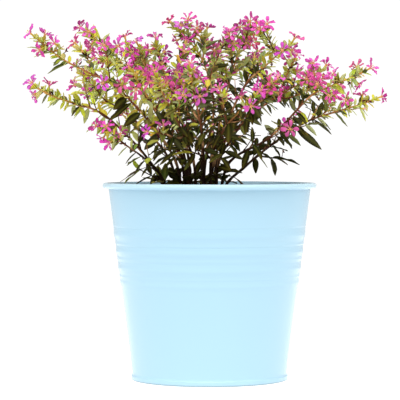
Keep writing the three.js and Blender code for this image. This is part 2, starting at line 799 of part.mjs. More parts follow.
addPiece('pot_wall', potWall(), COLOURS.paint);
addPiece('pot_bottom', potBottom(), COLOURS.paint);
addPiece('soil', soil(), COLOURS.soil);
stemGeometries.forEach((geometry, i) => addPiece(numbered('leafy_stem', i + 1), geometry, COLOURS.leaf));
sprayGeometries.forEach((geometry, i) => addPiece(numbered('flower_spray', i + 1), geometry, COLOURS.petal));

export default part;
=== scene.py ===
"""The looks of a Mexican heather in a round pot of painted sheet metal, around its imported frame.

Lengths here are millimetres, and MM turns them into Blender's metres. Z is up, the origin is on the pot's
axis at the level that it stands on, and the plant's front is towards -Y.
"""

import math
from collections import namedtuple
from functools import lru_cache

import bpy
import numpy as np
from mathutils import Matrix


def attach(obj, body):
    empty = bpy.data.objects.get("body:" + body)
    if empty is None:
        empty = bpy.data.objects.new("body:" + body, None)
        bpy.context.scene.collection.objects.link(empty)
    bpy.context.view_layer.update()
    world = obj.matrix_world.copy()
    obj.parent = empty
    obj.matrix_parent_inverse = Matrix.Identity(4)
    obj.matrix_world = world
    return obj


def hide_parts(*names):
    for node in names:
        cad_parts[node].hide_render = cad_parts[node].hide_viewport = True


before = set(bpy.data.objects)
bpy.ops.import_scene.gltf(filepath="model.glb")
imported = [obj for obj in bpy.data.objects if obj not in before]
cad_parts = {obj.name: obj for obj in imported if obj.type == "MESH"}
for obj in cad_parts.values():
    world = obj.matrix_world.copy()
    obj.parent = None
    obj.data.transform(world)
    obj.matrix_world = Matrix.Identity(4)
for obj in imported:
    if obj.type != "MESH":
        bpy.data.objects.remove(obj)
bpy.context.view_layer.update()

MM = 0.001
UP = np.array([0.0, 0.0, 1.0])
rng = np.random.default_rng(27)

# Camera: a long lens, a little above the rim and looking slightly down.
CAMERA_PLACE = (-6.5, -1510.0, 159.4)
CAMERA_TARGET = (-6.5, 0.0, 122.6)
CAMERA_LENS = 199.0
CAMERA_SENSOR = 36.0

# The photograph's side in pixels, and flowers seen in it that stand alone on short shoots.
PHOTO_SIDE = 400
SINGLE_FLOWERS = [
    (54, 43), (118, 46), (131, 52), (103, 83), (122, 84), (200, 96), (194, 71), (188, 19), (197, 28),
    (229, 34), (240, 27), (250, 21), (259, 29), (267, 24), (246, 43), (214, 50), (155, 81),
    (175, 80), (185, 73), (183, 95), (174, 91), (166, 100), (333, 74), (271, 83), (267, 92), (306, 79),
    (317, 84), (329, 95), (346, 100), (290, 129), (313, 63), (131, 70), (150, 72), (104, 45), (161, 63),
]

# Withered dark flower remains that can be told apart in it.
WITHERED_BITS = [
    (66, 51), (80, 64), (88, 57), (43, 88), (138, 58), (115, 127), (125, 145), (226, 45), (264, 33),
    (272, 64), (296, 63), (355, 78), (350, 83), (318, 98), (363, 101), (283, 151), (248, 53), (150, 100),
]

# Leaves that can be told apart in it: the pixels of the foot and the tip, half the width beside the length,
# degrees turned from flat towards the eye to edge on, and a tone.
SEEN_LEAVES = [
    ((45, 47), (26, 47), 0.15, 78, "pale"), ((46, 50), (40, 53), 0.18, 50, "pale"),
    ((50, 54), (33, 57), 0.15, 78, "pale"), ((60, 58), (53, 66), 0.2, 0, "mid"),
    ((67, 63), (47, 74), 0.15, 70, "mid"), ((74, 104), (72, 115), 0.2, 10, "pale"),
    ((89, 109), (84, 124), 0.19, 10, "pale"), ((102, 118), (97, 135), 0.18, 10, "pale"),
    ((114, 141), (112, 151), 0.27, 0, "lime"), ((59, 101), (52, 106), 0.2, 40, "pale"),
    ((60, 102), (47, 108), 0.16, 78, "pale"), ((83, 115), (73, 119), 0.16, 78, "pale"),
    ((96, 126), (86, 133), 0.16, 76, "pale"), ((125, 149), (118, 156), 0.16, 70, "pale"),
    ((134, 155), (125, 164), 0.16, 66, "dark"), ((139, 159), (126, 166), 0.16, 70, "mid"),
    ((143, 164), (132, 177), 0.15, 68, "dark"), ((148, 167), (141, 177), 0.17, 50, "dark"),
    ((126, 95), (113, 110), 0.25, 0, "dark"), ((141, 112), (123, 127), 0.19, 10, "dark"),
    ((129, 106), (108, 123), 0.16, 45, "dark"), ((161, 134), (144, 150), 0.21, 0, "dark"),
    ((159, 143), (154, 154), 0.2, 10, "mid"), ((156, 110), (166, 126), 0.16, 0, "dark"),
    ((164, 121), (170, 140), 0.16, 10, "dark"), ((128, 83), (131, 95), 0.2, 0, "pale"),
    ((137, 92), (145, 105), 0.2, 0, "pale"), ((147, 99), (153, 110), 0.2, 20, "pale"),
    ((90, 30), (93, 24), 0.22, 20, "lime"), ((105, 40), (110, 33), 0.17, 20, "lime"),
    ((298, 130), (322, 150), 0.13, 0, "dark"), ((307, 124), (317, 136), 0.15, 20, "pale"),
    ((314, 121), (332, 135), 0.15, 62, "dark"), ((337, 115), (348, 127), 0.16, 60, "mid"),
    ((290, 137), (301, 146), 0.17, 20, "mid"), ((273, 146), (281, 158), 0.16, 60, "dark"),
    ((262, 150), (272, 160), 0.16, 50, "dark"), ((258, 153), (268, 168), 0.15, 74, "pale"),
    ((248, 151), (242, 170), 0.19, 0, "dark"), ((320, 119), (327, 127), 0.2, 30, "pale"),
    ((353, 83), (355, 90), 0.2, 60, "pale"), ((348, 83), (353, 95), 0.16, 78, "pale"),
    ((358, 108), (363, 114), 0.18, 70, "pale"), ((367, 108), (368, 116), 0.18, 70, "pale"),
    ((284, 137), (289, 143), 0.16, 70, "pale"), ((226, 83), (240, 101), 0.14, 10, "dark"),
    ((227, 100), (235, 123), 0.16, 0, "dark"), ((229, 124), (228, 144), 0.23, 0, "dark"),
    ((212, 66), (230, 65), 0.14, 20, "dark"), ((224, 80), (214, 90), 0.16, 10, "dark"),
    ((213, 46), (220, 40), 0.17, 30, "mid"), ((339, 79), (346, 73), 0.2, 10, "lime"),
    ((350, 104), (351, 96), 0.18, 20, "lime"), ((362, 99), (362, 94), 0.18, 30, "dark"),
    ((173, 138), (184, 152), 0.2, 10, "dark"), ((210, 138), (197, 149), 0.2, 10, "dark"),
    ((205, 152), (224, 144), 0.14, 20, "dark"), ((227, 152), (244, 160), 0.16, 20, "dark"),
    ((156, 174), (150, 184), 0.25, 10, "dark"), ((186, 182), (188, 161), 0.2, 10, "dark"),
    ((172, 182), (169, 167), 0.26, 10, "dark"), ((181, 183), (177, 167), 0.26, 0, "dark"),
    ((178, 150), (159, 166), 0.1, 20, "dark"), ((176, 157), (162, 170), 0.09, 20, "dark"),
    ((166, 151), (151, 160), 0.06, 0, "dark"), ((224, 165), (236, 173), 0.12, 20, "dark"),
    ((222, 161), (235, 156), 0.1, 20, "dark"), ((208, 152), (203, 163), 0.16, 20, "mid"),
    ((194, 140), (186, 130), 0.2, 20, "mid"), ((216, 172), (224, 166), 0.2, 20, "dark"),
    ((199, 160), (194, 177), 0.19, 10, "dark"), ((189, 179), (204, 172), 0.17, 20, "dark"),
    ((199, 182), (214, 175), 0.2, 10, "dark"), ((215, 182), (204, 177), 0.22, 20, "dark"),
    ((184, 169), (175, 178), 0.2, 10, "dark"), ((192, 158), (184, 171), 0.16, 20, "mid"),
]

# Pot, as in the frame.
POT_HEIGHT = 134.4
RIM_RADIUS = 73.0
RIM_ROLL = 1.85
FOOT_BAND_HEIGHT = 4.4
FOOT_RADIUS = 53.6
FOOT_ROUNDING = 1.0
BAND_ROUNDING = 0.6
BAND_FALL = 1.4
TAPER_LOW_RADIUS = 52.8
TAPER_TOP_HEIGHT = 130.4
TAPER_TOP_RADIUS = 68.9
WALL_THICKNESS = 1.2
HEM_INNER_RADIUS = 49.0
HEM_HEIGHT = 3.2
POT_SIDES = 192

# Joints of the wall, as steps out from the taper and up from its end: above the foot band, under the rim and
# behind the rim.
BAND_JOINTS = [(0.28, -0.4), (0.1, 0.3)]
RIM_JOINT = (0.15, 0.7)
INNER_JOINT = (-0.3, -1.0)
PLAIN_FROM = 1.2
INSIDE_HEIGHTS = (110, 80, 50, 20, HEM_HEIGHT)

# Pressed ribs: their heights, how far they stand out, and the fine bead under each.
RIBS = [
    {"top": 103.8, "bottom": 95.4, "rise": 0.7, "bead": 93.4},
    {"top": 91.4, "bottom": 84.8, "rise": 0.6, "bead": 83.2},
    {"top": 80.4, "bottom": 72.8, "rise": 0.5, "bead": 71.0},
    {"top": 69.4, "bottom": 63.4, "rise": 0.3, "bead": None},
]
RIBBED = {"from": 61, "to": 106, "step": 0.4}
RIB_SHARE = 0.62
GROOVE_SHARE = 0.2
GROOVE_WIDTH = 1.5
BEAD_RISE = 0.1
BEAD_REACH = 1.4

# Where the paint changes: above the joint under the rim, where the rim's painted highlight starts, and below
# the foot's lower edge, where its painted contact shadow is.
HIGHLIGHT_RIM_RISE = 1.2
CONTACT_SHADOW_HEIGHT = 1.05

# Soil: its level, how much its middle stands up, how lumpy it is, and the crumbs that lie on it.
SOIL_TOP = 117.0
SOIL_CROWN = 1.5
SOIL_SIDES = 96
SOIL_RINGS = 34
SOIL_BUMP = 1.0
SOIL_WANDER = 0.5
SOIL_CALM_EDGE = 8
SOIL_WALL_HEIGHTS = (HEM_HEIGHT + 1.8, 40, 80, SOIL_TOP - 1.5)
CRUMBS = 1100
CRUMB_SIZE = (0.5, 1.9)
CRUMB_MARGIN = 2.5
CRUMB_CORNERS = 5
SEAT_GAP = 0.3

# Stems, as in the frame: where each leaves the soil, and the points that it then passes.
STEM_DEPTH = 11.0
STEM_STRAIGHT = 3.0
STEMS = [
    ((-19, -2), [(-23, -3, 149), (-42, -12, 177), (-63, -22, 199), (-82, -30, 209),
                 (-96, -35, 216), (-106, -38, 223)]),
    ((-27, 5), [(-39, 8, 146), (-59, 14, 169), (-76, 12, 183), (-94, 2, 189), (-106, -8, 193)]),
    ((-25, -7), [(-34, -12, 141), (-45, -22, 152), (-56, -30, 160)]),
    ((-16, 4), [(-20, 4, 153), (-34, 10, 178), (-51, 18, 204), (-64, 24, 221), (-75, 26, 231)]),
    ((-14, 11), [(-18, 14, 156), (-29, 30, 184), (-42, 42, 206), (-51, 47, 220)]),
    ((-12, -5), [(-15, -5, 156), (-21, -12, 183), (-29, -16, 205), (-33, -18, 216)]),
    ((-5, 2), [(-2, 3, 156), (3, 8, 183), (1, 12, 201), (-5, 14, 219), (-14, 14, 232)]),
    ((-1, 9), [(3, 12, 156), (9, 26, 184), (15, 36, 208), (22, 43, 230)]),
    ((-2, -7), [(5, -10, 156), (16, -18, 185), (25, -22, 202), (36, -26, 212), (45, -28, 220)]),
    ((1, 3), [(6, 7, 151), (19, 20, 175), (37, 30, 187), (50, 36, 196), (68, 40, 205)]),
    ((7, -5), [(13, -8, 148), (36, -16, 162), (47, -20, 171), (58, -24, 183), (69, -26, 194),
               (82, -27, 200), (92, -27, 204)]),
    ((8, 3), [(12, 5, 134), (23, 10, 144), (36, 18, 155), (51, 24, 166), (69, 28, 177),
              (87, 30, 183), (104, 32, 188)]),
    ((-14, -13), [(-16, -18, 146), (-30, -40, 173), (-43, -56, 195)]),
    ((-9, -15), [(-11, -22, 150), (-20, -50, 173), (-30, -68, 192)]),
    ((-4, -17), [(-4, -25, 150), (-6, -56, 173), (-11, -78, 196)]),
    ((1, -15), [(1, -22, 150), (9, -52, 170), (20, -70, 183)]),
    ((5, -11), [(6, -17, 148), (19, -40, 171), (34, -54, 190)]),
    ((-6, 15), [(-5, 25, 156), (-5, 52, 180), (1, 71, 208)]),
    ((-21, 10), [(-27, 15, 149), (-45, 32, 171), (-64, 45, 186), (-78, 50, 195)]),
]

# Flowering shoots, as in the frame: the stem that bears each, the middle of its flowers and how many it
# has. The first of a stem grows out of the stem's end and the others stand on side shoots.
SPRAYS = [
    (1, (-115, -40, 231), 3), (1, (-87, -20, 225), 2), (2, (-117, -16, 199), 3), (2, (-74, 0, 171), 2),
    (3, (-66, -37, 168), 3), (4, (-86, 28, 238), 3), (4, (-74, 14, 219), 2), (5, (-58, 50, 231), 3),
    (5, (-48, 28, 227), 2), (6, (-36, -20, 227), 3), (6, (-18, -7, 226), 2), (7, (-24, 14, 241), 3),
    (7, (-3, 21, 236), 3), (8, (31, 46, 241), 3), (8, (14, 30, 233), 3), (8, (33, 60, 224), 2),
    (9, (54, -30, 227), 3), (9, (30, -8, 215), 2), (10, (79, 43, 212), 3), (10, (58, 27, 218), 3),
    (10, (73, 18, 199), 2), (11, (103, -27, 209), 3), (12, (115, 34, 192), 2), (12, (88, 38, 197), 2),
    (12, (58, 10, 176), 2), (13, (-50, -64, 207), 3), (14, (-35, -77, 204), 3), (14, (-36, -54, 168), 2),
    (15, (-13, -84, 208), 3), (15, (-20, -58, 203), 2), (16, (28, -78, 191), 3), (16, (8, -66, 192), 2),
    (17, (42, -61, 199), 3), (18, (5, 82, 219), 3), (18, (-12, 80, 201), 2), (18, (-21, 60, 189), 2),
    (19, (-90, 53, 201), 3), (19, (-90, 36, 211), 2),
]

# Old leaves that hang to the pot's rim, as in the frame.
OLD_LEAVES = [
    {"stem": 2, "from": 44, "tip": (-62, 4, 134.5), "arch": 0.15, "half_width": 0.06, "dry": True},
    {"stem": 2, "from": 38, "tip": (-41, 0, 129), "arch": 0.5, "half_width": 0.14, "dry": False},
    {"stem": 12, "from": 36, "tip": (27, 14, 127), "arch": 0.1, "half_width": 0.1, "dry": True},
]

# How the frame's plant grows.
STEM_BASE_RADIUS = 1.5
STEM_TIP_RADIUS = 0.7
SHOOT_BASE_RADIUS = 0.95
SHOOT_TIP_RADIUS = 0.75
SHOOT_BOW = 0.12
LOWEST_FORK = 22.0
SPRAY_AXIS_LENGTH = 9.0
SPRAY_AXIS_RADIUS = 0.9
SPRAY_AXIS_RADII = [SPRAY_AXIS_RADIUS * 0.8] * 3 + [0.5]
ROUTE_SAMPLES = 48
TWIG_START = 0.42
TWIG_STEP = 47.0
TWIG_MARGIN = 12.0
TWIG_LENGTH = (14.0, 26.0)
TWIG_RADII = (0.8, 0.45)
TWIG_SIDE = 1.4
TWIG_WANDER = 0.8
TWIG_FORWARD = 0.8
TWIG_OUTWARD = 0.9
TWIG_RISE = 0.1
TWIG_ROOM = 2.0
TWIG_PAIR_AT = 0.5
TWIG_END_LEAF_AT = 0.94
LEAF_START = 30.0
LEAF_STEP = 40.5
LEAF_MARGIN = 3.0
LOW_LEAVES = {"height": 130.0, "length": 16.0}
HIGH_LEAVES = {"height": 225.0, "length": 10.5}
LEAF_LENGTH_SPREAD = (0.85, 1.15)
LEAF_HALF_WIDTH = 0.16
LEAF_FORWARD = (0.55, 0.85)
LEAF_DROOP = (0.08, 0.28)
LEAF_FACES_TIP = 0.5
LEAF_FACES_SKY = 0.8
PAIR_WANDER = 0.9
SHOOT_PAIR_AT = 0.62
CALYX_LENGTH = 6.4
PETALS = 6
PETAL_REACH = 5.8
PETAL_CUP = 0.9
GOLDEN_ANGLE = math.radians(137.5)
TOP_FLOWER = {"along": 0.96, "tilt": 0.25}
SIDE_FLOWERS = {"along": 0.3, "step": 0.35, "tilt": 1.35}
FLOWER_RISE = 0.15
CLEARANCE = 0.45
AMPLE_ROOM = 1.2
STEM_BALL_STEP = 2.5
END_MARGIN = 2.0
AXIS_MARGIN = 1.5
LEAF_BALLS = (0.35, 0.55, 0.75, 0.95)
TWIG_BALLS = (0.5, 0.75, 1.0)
PETAL_BALL = {"radius": 1.9, "out": 0.66, "up": 0.6}
CALYX_BALLS = (0.6, 1.0)
TURNS = [math.radians(a) for a in (0, 35, -35, 70, -70, 110, -110, 150, -150, 180)]
SPRAY_OWNERS = 101
SINGLE_OWNER = 200
SEEN_DROOP = 0.1
DRAWS = {
    "leaf_forward": 1, "leaf_length": 2, "leaf_droop": 3, "left_leaf": 11, "right_leaf": 12,
    "twig_length": 21, "twig_turn": 22, "twig_pair": 31, "twig_end": 32, "stem_pair": 41,
    "spray_turn": 51, "flower_turn": 52, "shoot_pair": 61,
}

# Kinds of surface in a plant piece, by material index.
LEAF, BARK, PETAL = 0, 1, 2


def srgb(red, green, blue):
    """A colour as it is seen, 0 to 255, as Blender's linear one."""
    seen = np.array([red, green, blue]) / 255
    return np.where(seen <= 0.04045, seen / 12.92, ((seen + 0.055) / 1.055) ** 2.4)


# Colours of the pot's paint, which is a little paler on the rolled rim as a painted highlight, and darker on
# the foot's lower edge as a painted contact shadow.
WALL_PAINT = srgb(155, 188, 205)
HIGHLIGHT_RIM_PAINT = srgb(165, 196, 209)
CONTACT_SHADOW_PAINT = srgb(136, 160, 170)

# Colours of the plant. The old greens also serve as painted shade deep under its leaves.
OLD_SHADED_GREEN = srgb(39, 38, 6)
MID_GREEN = srgb(104, 109, 36)
YOUNG_GREEN = srgb(218, 219, 52)
YELLOW_LEAF = srgb(240, 176, 64)
OLD_SHADED_UNDERSIDE = srgb(90, 92, 46)
UNDERSIDE = srgb(216, 218, 172)
DRY_LEAF = srgb(160, 138, 104)
WOOD_LOW = srgb(42, 27, 16)
WOOD_HIGH = srgb(110, 62, 38)
WOOD_TIP = srgb(190, 138, 72)
# Tan patches on the wood are painted highlights.
WOOD_HIGHLIGHT = srgb(206, 156, 108)
MAGENTA = srgb(248, 118, 214)
DEEP_MAGENTA = srgb(188, 36, 124)
THROAT = srgb(252, 204, 166)
CALYX_GREEN = srgb(206, 200, 62)
CALYX_FLUSH = srgb(238, 182, 134)
WITHERED = srgb(66, 12, 28)

# Upper and lower colours of the leaves that are told apart.
LEAF_TONES = {
    "pale": (srgb(190, 198, 136), srgb(204, 208, 158)),
    "lime": (YOUNG_GREEN, UNDERSIDE),
    "mid": (srgb(106, 116, 48), srgb(140, 148, 92)),
    "dark": (srgb(44, 44, 14), srgb(78, 78, 44)),
    "dry": (DRY_LEAF, DRY_LEAF * 0.8),
}


def mix(a, b, share):
    """From a at share 0 to b at share 1."""
    return a + (b - a) * share


def smoothstep(value, low, high):
    share = min(1.0, max(0.0, (value - low) / (high - low)))
    return share * share * (3 - 2 * share)


def draw(*keys):
    """The frame's seeded draw: the same keys always give the same number from 0 to 1."""
    hashed = 2166136261
    for key in keys:
        hashed = ((hashed ^ key) * 16777619) & 0xFFFFFFFF
        hashed = ((hashed ^ (hashed >> 15)) * 2246822519) & 0xFFFFFFFF
    hashed = ((hashed ^ (hashed >> 13)) * 3266489917) & 0xFFFFFFFF
    return (hashed ^ (hashed >> 16)) / 4294967296


def between(limits, *keys):
    """The frame's draw, spread over a range."""
    return mix(limits[0], limits[1], draw(*keys))


def near(usual, spread):
    """A number that strays from its usual value by chance."""
    return usual + spread * rng.normal(0, 1)


def length_of(vector):
    return math.sqrt(vector @ vector)


def unit(vector):
    return vector / length_of(vector)


def strayed(direction, spread):
    """A unit vector that strays from a direction by chance."""
    return unit(direction + spread * rng.normal(0, 1, 3))


def cross(a, b):
    return np.array([a[1] * b[2] - a[2] * b[1], a[2] * b[0] - a[0] * b[2], a[0] * b[1] - a[1] * b[0]])


def square_to(direction, axis):
    """The unit vector square to the axis that is nearest to a direction."""
    return unit(direction - axis * (direction @ axis))


def around_axis(axis, angle):
    """A unit vector square to the axis, turned about it from the upper side."""
    reference = UP if abs(axis[2]) < 0.95 else np.array([0.0, 1.0, 0.0])
    side = square_to(reference, axis)
    return side * math.cos(angle) + cross(axis, side) * math.sin(angle)


class Route:
    """A smooth line through points, as the frame's stems follow, measured along its length."""

    def __init__(self, controls):
        controls = np.array(controls, float)
        before = 2 * controls[0] - controls[1]
        after = 2 * controls[-1] - controls[-2]
        padded = np.vstack([before, controls, after])
        spans = len(controls) - 1
        self.points = np.array([self.sample(padded, spans, i / ROUTE_SAMPLES)
                                for i in range(ROUTE_SAMPLES + 1)])
        steps = np.linalg.norm(np.diff(self.points, axis=0), axis=1)
        self.distances = np.concatenate([[0.0], np.cumsum(steps)])
        self.length = self.distances[-1]

    @staticmethod
    def sample(padded, spans, share):
        place = share * spans
        first = min(int(place), spans - 1)
        t = place - first
        p0, p1, p2, p3 = padded[first:first + 4]
        slope1 = 0.5 * (p2 - p0)
        slope2 = 0.5 * (p3 - p1)
        square = 3 * (p2 - p1) - 2 * slope1 - slope2
        cube = 2 * (p1 - p2) + slope1 + slope2
        return p1 + slope1 * t + square * t * t + cube * t * t * t

    def at(self, distance):
        wanted = min(max(distance, 0.0), self.length)
        i = min(max(1, int(np.searchsorted(self.distances, wanted))), ROUTE_SAMPLES)
        start, end = self.points[i - 1], self.points[i]
        share = (wanted - self.distances[i - 1]) / (self.distances[i] - self.distances[i - 1])
        return start + (end - start) * share, unit(end - start)

    def nearest_distance(self, target):
        return self.distances[np.argmin(np.linalg.norm(self.points - target, axis=1))]


# Meshes
def add_object(name, data):
    added = bpy.data.objects.new(name, data)
    bpy.context.scene.collection.objects.link(added)
    return added


def mesh_piece(name, points, faces, materials, kinds):
    """A smooth piece from points in millimetres, with the kind of material that each face has."""
    mesh = bpy.data.meshes.new(name)
    mesh.from_pydata(points * MM, [], faces)
    for material in materials:
        mesh.materials.append(material)
    mesh.polygons.foreach_set("material_index", kinds)
    mesh.shade_smooth()
    return add_object(name, mesh)


def circle(angles):
    """Points of a circle of radius 1 about Z."""
    return np.stack([np.cos(angles), np.sin(angles), np.zeros(len(angles))], axis=1)


def even_turns(count):
    """Angles that part a full turn evenly."""
    return np.arange(count) * (2 * math.pi / count)


@lru_cache(maxsize=None)
def loft_faces(counts):
    """Faces that join rings with these numbers of points into a closed skin. A ring of one is a tip."""
    faces = []
    first = 0
    for lower, upper in zip(counts, counts[1:]):
        following = first + lower
        count = max(lower, upper)
        for i in range(count):
            j = (i + 1) % count
            if lower == 1:
                faces.append((first, following + j, following + i))
            elif upper == 1:
                faces.append((first + i, first + j, following))
            else:
                faces.append((first + i, first + j, following + j, following + i))
        first = following
    if counts[0] > 2:
        faces.append(tuple(range(counts[0] - 1, -1, -1)))
    if counts[-1] > 2:
        faces.append(tuple(range(first, first + counts[-1])))
    return faces


class Skin:
    """Closed forms that are gathered into one mesh, with a colour at each point."""

    def __init__(self):
        self.points = []
        self.tints = []
        self.faces = []
        self.kinds = []
        self.count = 0

    def add(self, rings, tints, kind):
        """Joins rings of points, each with one colour for the ring or one for each of its points."""
        counts = tuple(len(ring) for ring in rings)
        for face in loft_faces(counts):
            self.faces.append(tuple(self.count + k for k in face))
            self.kinds.append(kind)
        for ring, tint in zip(rings, tints):
            self.points.append(ring)
            self.tints.append(np.broadcast_to(tint, ring.shape))
        self.count += sum(counts)

    def build(self, name, materials):
        piece = mesh_piece(name, np.vstack(self.points), self.faces, materials, self.kinds)
        colours = np.ones((self.count, 4))
        colours[:, :3] = np.vstack(self.tints)
        tint = piece.data.color_attributes.new("tint", "FLOAT_COLOR", "POINT")
        tint.data.foreach_set("color", colours.ravel())
        return piece


def rod(skin, points, radii, tints, sides, kind=BARK):
    """Round wood along points, with its own radius and colour at each. A radius of 0 is a tip."""
    points = np.asarray(points, float)
    side = None
    rings = []
    for i, point in enumerate(points):
        ahead = points[min(i + 1, len(points) - 1)] - points[max(i - 1, 0)]
        tangent = unit(ahead)
        side = around_axis(tangent, 0) if side is None else square_to(side, tangent)
        across = cross(tangent, side)
        if radii[i] == 0:
            rings.append(point[None, :])
            continue
        angles = even_turns(sides)
        rings.append(point + radii[i] * (np.outer(np.cos(angles), side) + np.outer(np.sin(angles), across)))
    skin.add(rings, tints, kind)


# The eight points around a blade: how far across, how deep, and their shares of the underside's and the
# rib's colour.
BLADE_ACROSS = np.array([1, 0.5, 0, -0.5, -1, -0.5, 0, 0.5])
BLADE_DEPTH = np.array([-0.5, -1, -1.35, -1, -0.5, 0, 0.1, 0])
BLADE_UNDER = np.array([0.5, 1, 1, 1, 0.5, 0, 0, 0])[:, None]
BLADE_RIB = 0.45 * np.array([0, 0, 0.6, 0, 0, 0, 1, 0])[:, None]


def blade(skin, spine, side, widths, fold, thickness, over, under, rib, kind, ruffle):
    """A thin closed blade with a midrib along a spine, whose first and last points are sharp tips.

    The ruffle lifts each of its points a little from the folded shape.
    """
    rings = [spine[:1]]
    tints = [over[0]]
    for k in range(1, len(spine) - 1):
        ahead = unit(spine[k + 1] - spine[k - 1])
        normal = cross(side, ahead)
        height = fold * widths[k] * np.abs(BLADE_ACROSS) + thickness * BLADE_DEPTH + ruffle[k]
        rings.append(spine[k] + np.outer(widths[k] * BLADE_ACROSS, side) + np.outer(height, normal))
        tint = mix(over[k], under[k], BLADE_UNDER)
        tints.append(mix(tint, rib, BLADE_RIB))
    rings.append(spine[-1:])
    tints.append(over[-1])
    skin.add(rings, tints, kind)


# Room
MOST_BALLS = 40000


class Space:
    """Space that is taken, as balls that each belong to a stem or a spray, as in the frame."""

    def __init__(self):
        self.centres = np.zeros((MOST_BALLS, 3))
        self.radii = np.zeros(MOST_BALLS)
        self.owners = np.zeros(MOST_BALLS, int)
        self.wood = np.zeros(MOST_BALLS, bool)
        self.count = 0

    def take(self, owner, centres, radius, is_wood=False):
        """Takes up balls for a stem or a spray. Its own wood does not stand in its way."""
        for centre in centres:
            self.centres[self.count] = centre
            self.radii[self.count] = radius
            self.owners[self.count] = owner
            self.wood[self.count] = is_wood
            self.count += 1

    def take_along(self, owner, route, start, end, radius):
        distance = start
        while distance < end:
            self.take(owner, [route.at(distance)[0]], radius, True)
            distance += STEM_BALL_STEP

    def room(self, owner, centres, radius):
        """The least gap between balls and what has been taken, below 0 where they cross."""
        count = self.count
        open_to = ~((self.owners[:count] == owner) & self.wood[:count])
        near = self.centres[:count][open_to]
        radii = self.radii[:count][open_to]
        least = math.inf
        for centre in centres:
            offset = near - centre
            least = min(least, float(np.min(np.sqrt(np.sum(offset * offset, axis=1)) - radii)) - radius)
        return least

    def roomiest(self, owner, tries, radius, ample=math.inf):
        """Of tries with their balls, the first with the most room, its balls and that room."""
        best = None
        most = -math.inf
        for tried, balls in tries:
            found = min(ample, self.room(owner, balls, radius))
            if found > most:
                most = found
                best = tried, balls
        return *best, most


space = Space()


# Leaves
LEAF_SHARES = np.array([0.0, 0.1, 0.27, 0.46, 0.64, 0.8, 0.92, 1.0])
LEAF_WIDTHS = np.array([0.0, 0.42, 0.88, 1.0, 0.9, 0.62, 0.3, 0.0])
LEAF_THICKNESS = 0.3
Leaf = namedtuple("Leaf", "foot direction face length droop half_width")

# The plant's outside, as a dome of leaves that falls from its top to its reach.
PLANT_MIDDLE = 4.0
PLANT_TOP = 240.0
PLANT_FALL = 40.0
PLANT_REACH = 116.0
LOW_REACH = 62.0
LOW_REACH_HEIGHTS = (130, 195)

# Painted shade in the heart of the plant, which darkens its leaves there: how far under the dome it starts
# and is full, where its middle is, how it leans, and the shares of the reach between which it fades to the
# sides.
DARK_UNDER = (10, 52)
DARK_MIDDLE = 16.0
DARK_TILT = 0.45
DARK_FADE = 0.75
DARK_SIDES = (0.18, 0.82)
FRONT_SHARE = 0.5

# How old a leaf outside the heart is, how much painted shade the heart adds, and how much younger a young
# shoot.
MIDDLE_AGE = 0.32
HEART_SHADE = 0.8
SHOOT_YOUTH = 0.44
AGE_SPREAD = 0.28
AGE_LIMITS = (0.1, 0.8)
YELLOW_CHANCE = 0.04
YELLOW_SHARE = 0.75
LEAF_TINT_SPREAD = np.array([0.12, 0.09, 0.4])
OLD_TINT_SPREAD = np.array([3.2, 1.9, 1.0])

# How yellow a leaf is at its tip, how bright at its foot, how pale its rib, and its curl and fold.
TIP_YELLOW = 0.12
FOOT_BRIGHTNESS = 1.15
RIB_PALENESS = 0.25
LEAF_CURL = 0.02
LEAF_FOLD = (0.28, 0.12)
UNDER_SHARE = 0.75


def leaf_point(leaf, along):
    point = leaf.foot + leaf.direction * (leaf.length * along)
    return point - UP * (leaf.droop * leaf.length * along * along)


def leaf_balls(leaf):
    return [leaf_point(leaf, along) for along in LEAF_BALLS]


def leaf_face(direction, tangent):
    return square_to(tangent * LEAF_FACES_TIP + UP * LEAF_FACES_SKY, direction)


def dome_top(point):
    """The height of the plant's outside over a point."""
    out = math.hypot(point[0] + PLANT_MIDDLE, point[1])
    return PLANT_TOP - PLANT_FALL * (out / PLANT_REACH) ** 2


def leaf_age_and_shade(point, youth_and_shade):
    """A leaf's age with painted shade added for its depth under the dome: 0 for a bright young leaf at the
    plant's outside, 1 for a dark one deep under its leaves.
    """
    aside = math.hypot(point[0] - DARK_MIDDLE, FRONT_SHARE * point[1])
    reach = mix(LOW_REACH, PLANT_REACH, smoothstep(point[2], *LOW_REACH_HEIGHTS))
    under = dome_top(point) - point[2] + DARK_TILT * min(0, point[0] - DARK_MIDDLE)
    depth = smoothstep(under, *DARK_UNDER) * (1 - DARK_FADE * smoothstep(aside / reach, *DARK_SIDES))
    return min(1.0, max(0.0, MIDDLE_AGE + HEART_SHADE * depth - SHOOT_YOUTH * youth_and_shade * (1 - 0.5 * depth)))


def leaf_tints(age_and_shade, yellow):
    """The upper and lower colours of a leaf of this age and painted shade, each a little off by chance."""
    shade = smoothstep(near(age_and_shade, AGE_SPREAD), *AGE_LIMITS)
    if shade > 0.5:
        over = mix(MID_GREEN, OLD_SHADED_GREEN, min(1.0, (shade - 0.5) * 2))
    else:
        over = mix(YOUNG_GREEN, MID_GREEN, max(0.0, shade * 2))
    if yellow:
        over = mix(over, YELLOW_LEAF, YELLOW_SHARE)
    over = over * (1 + rng.normal(0, 1, 3) * LEAF_TINT_SPREAD * mix(1.0, OLD_TINT_SPREAD, shade))
    under = mix(over, mix(UNDERSIDE, OLD_SHADED_UNDERSIDE, shade), UNDER_SHARE)
    return np.clip(over, 0.003, 0.95), np.clip(under, 0.003, 0.95)


